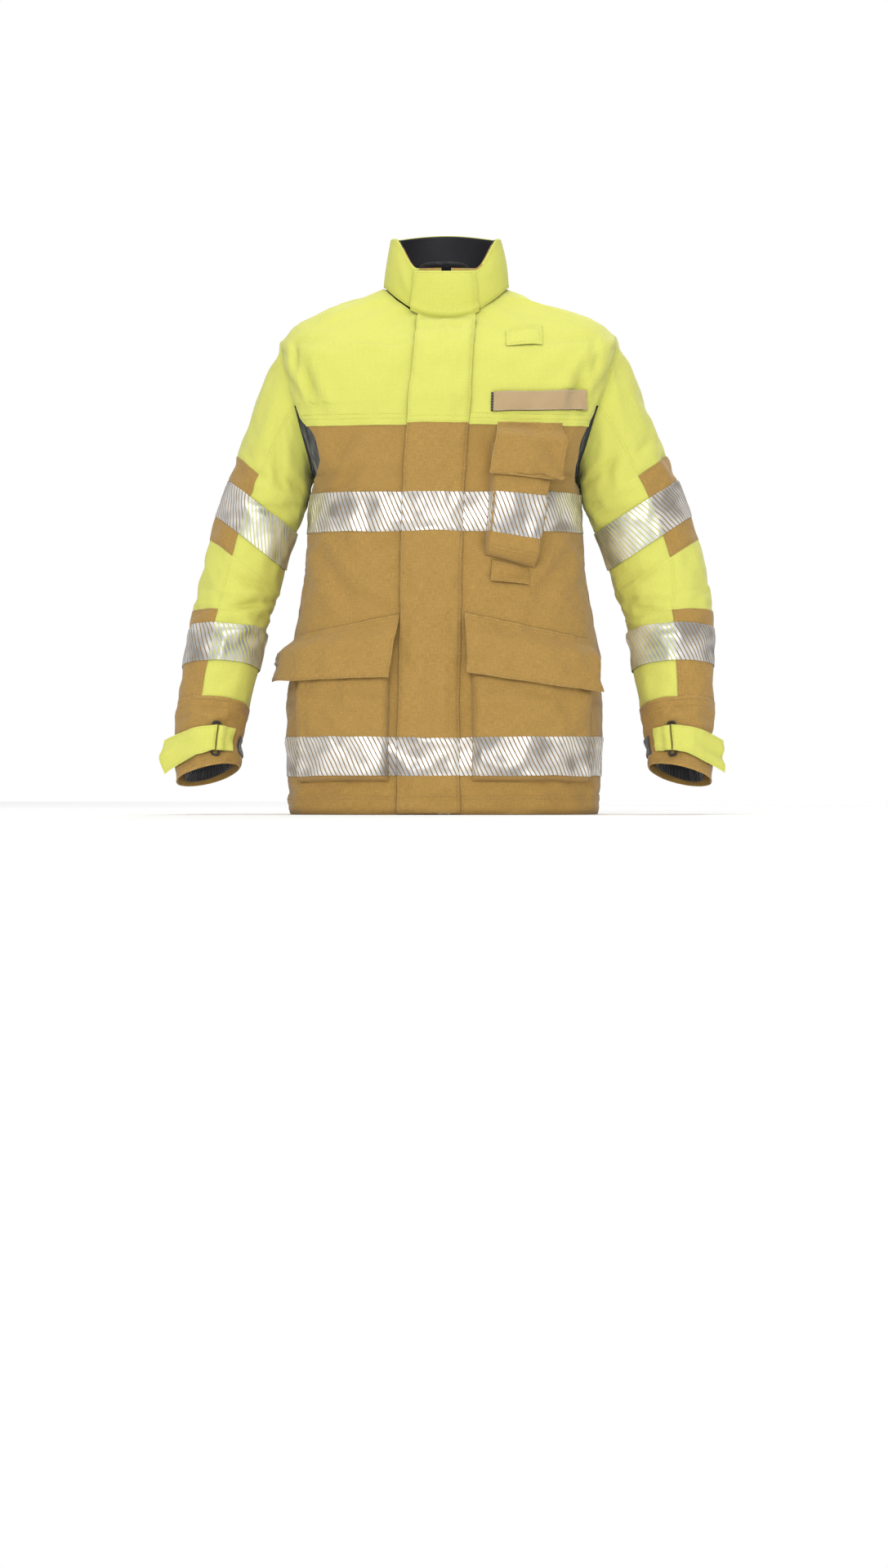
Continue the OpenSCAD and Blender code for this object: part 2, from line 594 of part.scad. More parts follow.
yoke_front(-1);  // yoke_front_right
yoke_front(1);  // yoke_front_left
yoke_back();
front_panel(-1);  // front_panel_right
front_panel(1);  // front_panel_left
back_panel();
underarm_gusset(-1);  // underarm_gusset_right
underarm_gusset(1);  // underarm_gusset_left
lining_front(-1);  // lining_front_right
lining_front(1);  // lining_front_left
lining_back();
collar_shell();
collar_lining();
hanger_loop();
zip_tapes();
zip_teeth();
zip_slider();
zip_pull();
storm_flap();
storm_flap_top();
storm_flap_tapes();
collar_tab();
cargo_pocket(-1, cargo_bag_right);  // cargo_pocket_right
cargo_pocket(1, cargo_bag_left);  // cargo_pocket_left
cargo_flap(-1, cargo_flap_right_c);  // cargo_flap_right
cargo_flap(1, cargo_flap_left_c);  // cargo_flap_left
radio_pocket();
radio_pocket_flap();
radio_pocket_tab();
name_strip();
name_strip_hook();
microphone_loop();
chest_tape();
hem_tape();
sleeve_head(-1);  // sleeve_head_right
sleeve_head(1);  // sleeve_head_left
upper_sleeve(-1);  // upper_sleeve_right
upper_sleeve(1);  // upper_sleeve_left
upper_insert(-1);  // upper_insert_right
upper_insert(1);  // upper_insert_left
upper_tape(-1);  // upper_tape_right
upper_tape(1);  // upper_tape_left
elbow_section(-1);  // elbow_section_right
elbow_section(1);  // elbow_section_left
lower_sleeve(-1);  // lower_sleeve_right
lower_sleeve(1);  // lower_sleeve_left
lower_insert(-1);  // lower_insert_right
lower_insert(1);  // lower_insert_left
lower_tape(-1);  // lower_tape_right
lower_tape(1);  // lower_tape_left
cuff(-1);  // cuff_right
cuff(1);  // cuff_left
wristlet(-1);  // wristlet_right
wristlet(1);  // wristlet_left
cuff_strap_anchor(-1);  // cuff_strap_anchor_right
cuff_strap_anchor(1);  // cuff_strap_anchor_left
cuff_ring(-1);  // cuff_ring_right
cuff_ring(1);  // cuff_ring_left
cuff_strap(-1);  // cuff_strap_right
cuff_strap(1);  // cuff_strap_left
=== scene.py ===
"""Firefighter's turnout coat: fabric, seams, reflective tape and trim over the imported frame.

The coat's surface is built once as a smooth form of four connected sheets (front, back and two
sleeves), relaxed and cloth-simulated. Every sewn piece is then cut from that form at its own
height above it. Coat coordinates are in millimetres, with x to the wearer's left, z up.
"""
import json
import math

import bpy
import mathutils
import numpy as np
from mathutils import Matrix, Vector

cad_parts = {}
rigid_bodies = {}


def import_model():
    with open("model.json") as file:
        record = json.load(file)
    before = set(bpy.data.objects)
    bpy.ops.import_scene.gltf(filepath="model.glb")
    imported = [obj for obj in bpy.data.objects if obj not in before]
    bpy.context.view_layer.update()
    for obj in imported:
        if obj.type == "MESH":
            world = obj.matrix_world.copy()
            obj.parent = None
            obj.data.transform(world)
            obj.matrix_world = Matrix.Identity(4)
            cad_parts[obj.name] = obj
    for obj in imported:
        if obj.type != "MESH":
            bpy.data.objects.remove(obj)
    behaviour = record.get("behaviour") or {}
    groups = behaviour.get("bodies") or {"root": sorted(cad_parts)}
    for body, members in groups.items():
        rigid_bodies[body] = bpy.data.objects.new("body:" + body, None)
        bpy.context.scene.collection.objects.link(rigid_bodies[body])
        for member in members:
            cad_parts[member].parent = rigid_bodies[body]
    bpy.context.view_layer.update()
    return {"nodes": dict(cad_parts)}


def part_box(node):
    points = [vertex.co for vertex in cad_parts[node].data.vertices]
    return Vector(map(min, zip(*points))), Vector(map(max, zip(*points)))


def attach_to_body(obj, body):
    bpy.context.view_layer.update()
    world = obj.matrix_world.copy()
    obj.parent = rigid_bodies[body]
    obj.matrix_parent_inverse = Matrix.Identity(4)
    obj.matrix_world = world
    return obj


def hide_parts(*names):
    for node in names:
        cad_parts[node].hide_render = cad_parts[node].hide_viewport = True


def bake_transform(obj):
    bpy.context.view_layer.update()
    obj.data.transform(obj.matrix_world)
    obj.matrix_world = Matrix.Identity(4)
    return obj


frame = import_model()
MM = 0.001
SIDES = ((-1, "right"), (1, "left"))


def cad(node):
    """A CAD node's box, in millimetres."""
    low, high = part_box(node)
    return np.array(low) / MM, np.array(high) / MM


# ---------------------------------------------------------------- the coat's form
def curve(*points):
    """Smooth curve through given (key, values) points, for arrays of keys."""
    keys = np.array([p[0] for p in points], float)
    vals = np.array([np.atleast_1d(p[1]) for p in points], float)
    slopes = np.empty_like(vals)
    slopes[1:-1] = (vals[2:] - vals[:-2]) / (keys[2:] - keys[:-2])[:, None]
    slopes[0] = (vals[1] - vals[0]) / (keys[1] - keys[0])
    slopes[-1] = (vals[-1] - vals[-2]) / (keys[-1] - keys[-2])

    def at(k):
        k = np.asarray(k, float)
        i = np.clip(np.searchsorted(keys, k, side="right") - 1, 0, len(keys) - 2)
        w = keys[i + 1] - keys[i]
        s = np.clip((k - keys[i]) / w, 0, 1)[..., None]
        r, w = 1 - s, w[..., None]
        out = (vals[i] * (1 + 2 * s) * r * r + slopes[i] * w * s * r * r
               + vals[i + 1] * s * s * (3 - 2 * s) - slopes[i + 1] * w * s * s * r)
        return out[..., 0] if vals.shape[1] == 1 else out
    return at


def mix(a, b, t):
    """Part t of the way from a to b."""
    return a + (b - a) * t


def step(low, high, v):
    """Smooth step from 0 at low to 1 at high, which may be below low."""
    s = np.clip((np.asarray(v, float) - low) / (high - low), 0, 1)
    return s * s * (3 - 2 * s)


def bump(centre, half, v):
    """Smooth bump of height 1 that reaches 0 at centre +- half."""
    s = np.clip(1 - np.abs(np.asarray(v, float) - centre) / half, 0, 1)
    return s * s * (3 - 2 * s)


SIDE_Y = 15.0
LEAN = 12.0
FULLER = np.array([8.0, 0.0, 6.0])
ARM_LOW = np.array([170.0, 440.0])
ARM_TOP = np.array([215.0, 612.0])
ARM_MID, ARM_HALF = (ARM_TOP + ARM_LOW) / 2, (ARM_TOP - ARM_LOW) / 2
ARM_DEPTH = 72.0
NECK = 680.0
YOKE = 507.0
side_x = curve((0, 199), (100, 203), (200, 199), (310, 182), (390, 176), (440, 170), (460, 170))
front_line = curve((0, (-143, 0)), (100, (-143, 100)), (200, (-141, 200)), (310, (-138, 310)),
                   (440, (-135, 440)), (530, (-130, 530)), (570, (-122, 570)), (600, (-110, 599)),
                   (640, (-84, 623)), (680, (-53, 640)), (700, (-38, 650)))
back_line = curve((0, (147, 0)), (100, (144, 100)), (200, (142, 200)), (310, (146, 310)),
                  (440, (152, 440)), (530, (157, 530)), (570, (156, 570)), (600, (150, 602)),
                  (640, (122, 655)), (680, (77, 692)), (700, (50, 704)))
shoulder_line = curve((612, (215, 612)), (621, (208, 623)), (640, (181, 643)), (652, (150, 658)),
                      (666, (108, 673)), (680, (78, 684)), (700, (40, 696)))
square = curve((0, 3), (440, 3), (560, 2.7), (640, 2.3), (680, 2), (700, 2))
# station: outer x and z, inner x and z, centre y, half depth, tilt
sleeve_line = curve((0, (215, 612, 170, 440, 15, 72, 0)), (1, (245, 550, 173, 425, 15, 72, 0)),
                    (2, (268, 492, 180, 402, 15, 70, 0)), (3, (282, 452, 189, 381, 14, 68, 0)),
                    (4, (298, 411, 203, 344, 12, 65, 0)), (5, (315, 357, 219, 290, 9, 62, 0)),
                    (6, (328, 300, 227, 268, 5, 60, 4)), (7, (335, 264, 232, 252, 0, 58, 8)),
                    (8, (340, 215, 239, 212, -12, 55, 12)), (9, (345, 146, 254, 138, -30, 48, 14)),
                    (10, (346, 92, 263, 92, -42, 44, 15)), (11, (345, 41, 266, 60, -52, 43, 15)))


def edge_line(h):
    """Side seam, armhole edge and shoulder line: x, distance in front of the side, z."""
    c = np.clip((h - ARM_MID[1]) / ARM_HALF[1], -1, 1)
    arm = (h > ARM_LOW[1]) & (h <= ARM_TOP[1])
    high = h > ARM_TOP[1]
    top = shoulder_line(np.maximum(h, ARM_TOP[1]))
    low = np.where(arm, ARM_MID[0] + ARM_HALF[0] * c, side_x(np.minimum(h, ARM_LOW[1])))
    x = np.where(high, top[..., 0], low)
    y = np.where(arm, ARM_DEPTH * np.sqrt(1 - c * c), 0)
    return x, y, np.where(high, top[..., 1], h)


def body_base(face, a, h):
    """Point on the coat's left half: face -1 front, 1 back; angle 0 centre, 90 side or armhole."""
    a, h = np.broadcast_arrays(np.asarray(a, float), np.asarray(h, float))
    ex, ey, ez = edge_line(h)
    line = (front_line if face < 0 else back_line)(h)
    p = 2 / square(h)
    u = np.sin(np.radians(a)) ** p
    v = np.clip(np.cos(np.radians(a)), 0, 1) ** p
    ey = SIDE_Y + face * ey
    return np.stack([ex * u, ey + (line[..., 0] - ey) * v,
                     line[..., 1] + (ez - line[..., 1]) * u * u], -1)


def sleeve_base(st, t):
    """Point on the left sleeve: station 0 armhole to 11 cuff; angle 0 outside, -90 front."""
    st, t = np.broadcast_arrays(np.asarray(st, float), np.radians(np.asarray(t, float)))
    q = sleeve_line(st)
    hx, hz = (q[..., 0] - q[..., 2]) / 2, (q[..., 1] - q[..., 3]) / 2
    tilt = np.radians(q[..., 6])
    return np.stack([(q[..., 0] + q[..., 2]) / 2 + hx * np.cos(t),
                     q[..., 4] + np.cos(tilt) * q[..., 5] * np.sin(t),
                     (q[..., 1] + q[..., 3]) / 2 + hz * np.cos(t)
                     - np.sin(tilt) * q[..., 5] * np.sin(t)], -1)


def lean(p):
    """Small lean of the wearer's arms to the left, and the fuller left shoulder."""
    x, z = p[..., 0], p[..., 2]
    arms = step(140, 340, np.abs(x)) * step(90, 330, z) * step(720, 520, z)
    shift = np.zeros_like(p)
    shift[..., 0] = LEAN * arms * np.where(x > 0, 1.3, 1.0)
    shoulder = step(120, 215, x) * bump(612, 90, z)
    return shift + shoulder[..., None] * FULLER


# Grid of the form: rows by height, columns from the wearer's right side to the left one
HALF = 30
ARM_STEPS = 20
ARM_ROW = 51                                  # the row of the underarm point
TOP_ROW = ARM_ROW + ARM_STEPS                 # the row of the shoulder point
STATIONS = 11                                 # from the armhole to the cuff's end
arm_angles = np.radians(np.linspace(180, 0, ARM_STEPS + 1))
ROWS = np.concatenate([np.linspace(0, ARM_LOW[1], ARM_ROW + 1),
                       ARM_MID[1] + ARM_HALF[1] * np.cos(arm_angles[1:]),
                       np.linspace(ARM_TOP[1], NECK, 12)[1:]])
SLEEVE_ROWS = np.linspace(0, STATIONS, 64)
SLEEVE_COLS = 2 * ARM_STEPS
sleeve_angles = np.linspace(-180, 180, SLEEVE_COLS + 1)[:-1]
column_share = np.linspace(0, 1, 400)         # columns stand closer at the centre and the side
share_angle = 90 * column_share ** 1.5 / (column_share ** 1.5 + (1 - column_share) ** 1.5)


def column_angle(q):
    """Angle round the body for evenly spaced columns, q from 0 at the centre to 1 at the side."""
    return np.interp(q, column_share, share_angle)


def column_of(a):
    """Column, 0 at the centre to 1 at the side, of an angle round the body."""
    return np.interp(a, share_angle, column_share)


def angle_at(x, h):
    """Angle at which the coat has the half width x."""
    ex = edge_line(np.asarray(h, float))[0]
    return np.degrees(np.arcsin(np.clip(np.abs(x) / ex, 0, 1) ** (square(h) / 2)))


class Form:
    """The coat's surface: two body grids and two sleeve grids, welded at the seams."""

    def __init__(self):
        q = np.abs(np.linspace(-1, 1, 2 * HALF + 1))
        sign = np.sign(np.linspace(-1, 1, 2 * HALF + 1))
        a, h = np.meshgrid(column_angle(q), ROWS)
        body = [body_base(face, a, h) for face in (-1, 1)]
        for g in body:
            g[..., 0] *= np.where(sign < 0, -1, 1)
        t, st = np.meshgrid(sleeve_angles, SLEEVE_ROWS)
        left = sleeve_base(st, t)
        right = left * np.array([-1, 1, 1])
        for grid in body + [right, left]:
            grid += lean(grid)
        self.weld(body, [right, left])

    def weld(self, body, sleeves):
        """Give every grid point a vertex number, one number where grids meet."""
        rows, cols = body[0].shape[:2]
        front = np.arange(rows * cols).reshape(rows, cols)
        back = front + rows * cols
        joined = np.ones(rows, bool)
        joined[ARM_ROW + 1:TOP_ROW] = False
        for c in (0, cols - 1):
            back[joined, c] = front[joined, c]
        count = 2 * rows * cols
        self.ids = {"front": front, "back": back}
        points = np.concatenate([body[0].reshape(-1, 3), body[1].reshape(-1, 3)])
        for name, grid, c in (("right", sleeves[0], 0), ("left", sleeves[1], cols - 1)):
            ids = count + np.arange(grid[..., 0].size).reshape(grid.shape[:2])
            for j, t in enumerate(sleeve_angles):
                row = TOP_ROW - int(round(abs(t) / 180 * ARM_STEPS))
                ids[0, j] = (front if t <= 0 else back)[row, c]
            self.ids[name] = ids
            points = np.concatenate([points, grid.reshape(-1, 3)])
            count += grid[..., 0].size
        self.base = points
        quads = []
        for name, ids in self.ids.items():
            if name in ("left", "right"):
                ids = np.concatenate([ids, ids[:, :1]], 1)
            quad = np.stack([ids[:-1, :-1], ids[:-1, 1:], ids[1:, 1:], ids[1:, :-1]], -1)
            quad = quad.reshape(-1, 4)
            quads.append(quad[:, ::-1] if name in ("back", "left") else quad)
        self.quads = np.concatenate(quads)
        edges = np.concatenate([self.quads[:, [0, 1]], self.quads[:, [1, 2]],
                                self.quads[:, [2, 3]], self.quads[:, [3, 0]]])
        self.edges = np.unique(np.sort(edges, 1), axis=0)
        self.used = np.zeros(len(points), bool)
        self.used[self.quads.ravel()] = True
        self.pinned = np.zeros(len(points), bool)
        for ids in (self.ids["front"], self.ids["back"]):
            self.pinned[ids[0]] = True
            self.pinned[ids[-1]] = True
        for name in ("left", "right"):
            self.pinned[self.ids[name][-1]] = True

    def neighbour_mean(self, values):
        a, b = self.edges.T
        total = np.zeros_like(values)
        n = np.bincount(np.concatenate([a, b]), minlength=len(values))
        for k in range(values.shape[1]):
            total[:, k] = np.bincount(np.concatenate([a, b]),
                                      np.concatenate([values[b, k], values[a, k]]), len(values))
        return total / np.maximum(n, 1)[:, None]

    def relax(self, passes, weight):
        """Round the form off, more where weight is higher."""
        p = self.base
        for _ in range(passes):
            p = p + (self.neighbour_mean(p) - p) * (weight * ~self.pinned)[:, None]
        self.base = p

    def finish_base(self):
        """Keep the smooth form and its outward normals, for every layer's offset."""
        tri = np.concatenate([self.quads[:, [0, 1, 2]], self.quads[:, [0, 2, 3]]])
        p = self.base
        face = np.cross(p[tri[:, 1]] - p[tri[:, 0]], p[tri[:, 2]] - p[tri[:, 0]])
        normal = np.zeros_like(p)
        for k in range(3):
            for c in range(3):
                normal[:, c] += np.bincount(tri[:, k], face[:, c], len(p))
        normal /= np.maximum(np.linalg.norm(normal, axis=1), 1e-9)[:, None]
        for _ in range(3):
            normal = normal + (self.neighbour_mean(normal) - normal) * 0.5
            normal /= np.maximum(np.linalg.norm(normal, axis=1), 1e-9)[:, None]
        self.normal = normal
        self.point = p.copy()

    def sample(self, name, row, col, d):
        """Point at a fractional grid place, at height d above the form."""
        ids = self.ids[name]
        rows, cols = ids.shape
        wrap = name in ("left", "right")
        row = np.clip(row, 0, rows - 1 - 1e-6)
        col = np.mod(col, cols) if wrap else np.clip(col, 0, cols - 1 - 1e-6)
        r0, c0 = np.floor(row).astype(int), np.floor(col).astype(int)
        wr, wc = spline_weights(row - r0), spline_weights(col - c0)
        p = np.zeros(row.shape + (3,))
        n = np.zeros(row.shape + (3,))
        for i in range(4):
            ri = np.clip(r0 + i - 1, 0, rows - 1)
            for j in range(4):
                cj = c0 + j - 1
                cj = np.mod(cj, cols) if wrap else np.clip(cj, 0, cols - 1)
                w = (wr[i] * wc[j])[..., None]
                p += self.point[ids[ri, cj]] * w
                n += self.normal[ids[ri, cj]] * w
        n /= np.linalg.norm(n, axis=-1)[..., None]
        return p + n * np.asarray(d, float)[..., None]


def spline_weights(t):
    """Catmull-Rom weights of the four grid lines round a place."""
    return (-0.5 * t + t ** 2 - 0.5 * t ** 3, 1 - 2.5 * t ** 2 + 1.5 * t ** 3,
            0.5 * t + 2 * t ** 2 - 1.5 * t ** 3, -0.5 * t ** 2 + 0.5 * t ** 3)


def row_of(h):
    """Grid row of the body at a height."""
    return np.interp(h, ROWS, np.arange(len(ROWS)))


def front_at(x, h, d):
    """Point on the front at a signed distance from its centre line."""
    x, h, d = (np.asarray(v, float) for v in np.broadcast_arrays(x, h, d))
    col = HALF + np.sign(x) * HALF * column_of(angle_at(x, h))
    return FORM.sample("front", row_of(h), col, d)


def sleeve_at(side, st, t, d):
    """Point on a sleeve: side 1 the wearer's left, station, angle, height."""
    st, t, d = (np.asarray(v, float) for v in np.broadcast_arrays(st, t, d))
    return FORM.sample("left" if side > 0 else "right", st / STATIONS * (len(SLEEVE_ROWS) - 1),
                       (t + 180) / 360 * SLEEVE_COLS, d)


FOLD_REACH = np.array([1, 0.35, 1])      # folds are placed from the front, so y counts for less


def crease(p, start, end, width, depth):
    """Push points inward or outward along a soft line from start to end (all in millimetres)."""
    start, end = np.array(start, float), np.array(end, float)
    along = end - start
    k = np.clip((p - start) @ along / (along @ along), 0, 1)
    gap = np.linalg.norm((p - start - k[:, None] * along) * FOLD_REACH, axis=1)
    near = gap / width
    profile = (1 - 0.8 * near ** 2) * np.exp(-0.9 * near ** 2)
    return depth * profile * np.sin(np.pi * np.clip(0.12 + 0.76 * k, 0, 1)) ** 1.5


def both_sides(folds):
    """The folds as listed for the wearer's left, and mirrored for the right at other strengths."""
    out = []
    for i, (start, end, width, depth) in enumerate(folds):
        out.append((start, end, width, depth))
        shift = np.array([0, 0, 7.0 * math.sin(2.1 * i)])
        start, end = (np.array(point) * [-1, 1, 1] + shift for point in (start, end))
        out.append((start, end, width, depth * (1 + 0.3 * math.cos(i))))
    return out


# Soft folds: start, end, width and depth; minus goes in
FOLDS = both_sides([
    ((193, -60, 609), (195, -95, 567), 7, -5.0),
    ((180, -95, 578), (181, -118, 528), 8, -6.4),
    ((165, -105, 580), (178, -112, 545), 9, -5.2),
    ((165, -112, 556), (163, -122, 514), 7, -4.6),
    ((97, -145, 504), (155, -125, 445), 15, -6.0),
    ((112, -145, 450), (146, -130, 418), 12, -4.4),
    ((219, -75, 506), (209, -72, 418), 10, -5.0),
    ((186, -62, 596), (166, -120, 520), 13, -4.5),
    ((176, -78, 590), (150, -125, 535), 12, 3.0),
    ((204, -50, 575), (172, -112, 512), 9, -3.0),
    ((150, -140, 500), (128, -146, 440), 18, -3.0),
    ((150, -100, 420), (90, -140, 330), 22, 2.6),
    ((165, -90, 350), (110, -140, 250), 20, -2.4),
    ((40, -145, 360), (110, -142, 330), 16, -2.0),
    ((55, -145, 280), (120, -140, 310), 14, 2.0),
    ((196, -60, 150), (190, -60, 20), 22, 3.5),
    ((120, -145, 40), (124, -145, 0), 20, 2.2),
    ((165, 110, 190), (172, 105, 10), 26, -4.0),
    ((100, 150, 250), (106, 148, 5), 30, 3.5),
    ((45, 155, 300), (40, 150, 20), 26, -3.0),
    ((150, 130, 560), (120, 158, 430), 20, -4.0),
    ((90, 158, 560), (60, 158, 440), 24, 2.5),
    ((185, 90, 590), (165, 130, 500), 14, 3.0),
    # sleeve, from the armpit down
    ((186, -40, 430), (232, -58, 470), 9, -3.6),
    ((190, -45, 408), (246, -56, 430), 10, 3.0),
    ((196, -42, 386), (250, -56, 396), 9, -2.6),
    ((182, 60, 430), (236, 84, 478), 11, -4.2),
    ((188, 62, 400), (250, 82, 440), 12, 3.4),
    ((262, -58, 480), (300, -50, 420), 14, 2.4),
    # elbow
    ((224, -42, 300), (278, -60, 318), 8, -3.2),
    ((226, -44, 284), (286, -60, 288), 8, 2.8),
    ((230, -46, 268), (280, -60, 264), 7, -3.4),
    ((234, -50, 250), (290, -62, 242), 8, 2.6),
    ((236, -50, 232), (276, -64, 216), 8, -2.4),
    ((228, 48, 300), (300, 66, 312), 10, 3.0),
    ((232, 44, 262), (310, 60, 266), 9, -3.2),
    ((240, 36, 236), (300, 52, 226), 10, 2.4),
    # forearm and cuff
    ((262, -76, 176), (312, -80, 160), 9, -2.0),
    ((262, -82, 150), (300, -90, 128), 8, 2.4),
    ((270, -84, 134), (330, -82, 144), 7, -2.2),
    ((268, -92, 84), (278, -94, 56), 6, -2.6),
])


SIM_CAP = 7.0            # the furthest that the simulation may move the cloth
LAST_FRAME = 20
SOFT_PIN = 0.28          # how firmly the cloth between the pinned edges keeps its place
CLOTH_SETTINGS = {"quality": 5, "mass": 0.25, "tension_stiffness": 18, "compression_stiffness": 18,
                  "shear_stiffness": 6, "bending_stiffness": 1.2, "vertex_group_mass": "pin",
                  "pin_stiffness": 0.9, "shrink_min": -0.035}


def simulate(form):
    """Cloth simulation of the whole form: slightly too large for its pins, so it ripples."""
    keep = np.flatnonzero(form.used)
    index = np.full(len(form.base), -1)
    index[keep] = np.arange(len(keep))
    mesh = bpy.data.meshes.new("form")
    mesh.from_pydata((form.point[keep] * MM).tolist(), [], index[form.quads].tolist())
    obj = bpy.data.objects.new("form", mesh)
    bpy.context.scene.collection.objects.link(obj)
    group = obj.vertex_groups.new(name="pin")
    held = form.pinned[keep]
    for level, mask in ((1.0, held), (SOFT_PIN, ~held)):
        group.add(np.flatnonzero(mask).tolist(), level, "REPLACE")
    cloth = obj.modifiers.new("Cloth", "CLOTH")
    for name, value in CLOTH_SETTINGS.items():
        setattr(cloth.settings, name, value)
    cloth.settings.effector_weights.gravity = 0.4
    cloth.point_cache.frame_start = 1
    cloth.point_cache.frame_end = LAST_FRAME
    scene = bpy.context.scene
    for f in range(1, LAST_FRAME + 1):
        scene.frame_set(f)
    done = obj.evaluated_get(bpy.context.evaluated_depsgraph_get())
    out = np.empty(len(keep) * 3, np.float32)
    done.data.vertices.foreach_get("co", out)
    scene.frame_set(1)
    bpy.data.objects.remove(obj)
    bpy.data.meshes.remove(mesh)
    move = np.zeros_like(form.point)
    move[keep] = out.reshape(-1, 3) / MM - form.point[keep]
    size = np.linalg.norm(move, axis=1)
    move *= (np.minimum(size, SIM_CAP) / np.maximum(size, 1e-6))[:, None]
    form.point = form.point + move + (form.neighbour_mean(move) - move) * 0.5


def armhole_distance(form):
    """How far each point of the form is from the armhole of its own side."""
    ring = form.base[form.ids["left"][0]]
    mirrored = form.base * np.where(form.base[:, :1] < 0, [[-1, 1, 1]], [[1, 1, 1]])
    return np.array([np.linalg.norm(ring - p, axis=1).min() for p in mirrored])


FORM = Form()
FORM.relax(14, 0.05 + 0.45 * np.exp(-(armhole_distance(FORM) / 24) ** 2))
FORM.finish_base()
FORM.point = FORM.point + FORM.normal * sum(crease(FORM.base, *f) for f in FOLDS)[:, None]
simulate(FORM)


# ---------------------------------------------------------------- pieces
def spaced(length, step, extra=()):
    """Grid lines from 0 to 1 across a length, closer together at both ends and at extra places."""
    near = np.array([0, 0.35, 1.0, 2.2]) * min(1, length / 6)
    n = max(2, int(np.ceil((length - 2 * near[-1]) / step)) + 1)
    mid = np.linspace(near[-1], length - near[-1], n)
    lines = np.concatenate([near[:-1], mid, length - near[:-1]])
    for place in extra:
        lines = np.concatenate([lines[np.abs(lines - place) > 0.5], [place - 0.25, place + 0.25]])
    return np.sort(lines) / length


def signed_volume(verts, faces):
    """Above zero where the faces point outwards."""
    total = 0.0
    for f in faces:
        for k in range(1, f.shape[1] - 1):
            a, b, c = verts[f[:, 0]], verts[f[:, k]], verts[f[:, k + 1]]
            total += np.einsum("ij,ij->i", a, np.cross(b, c)).sum()
    return total / 6


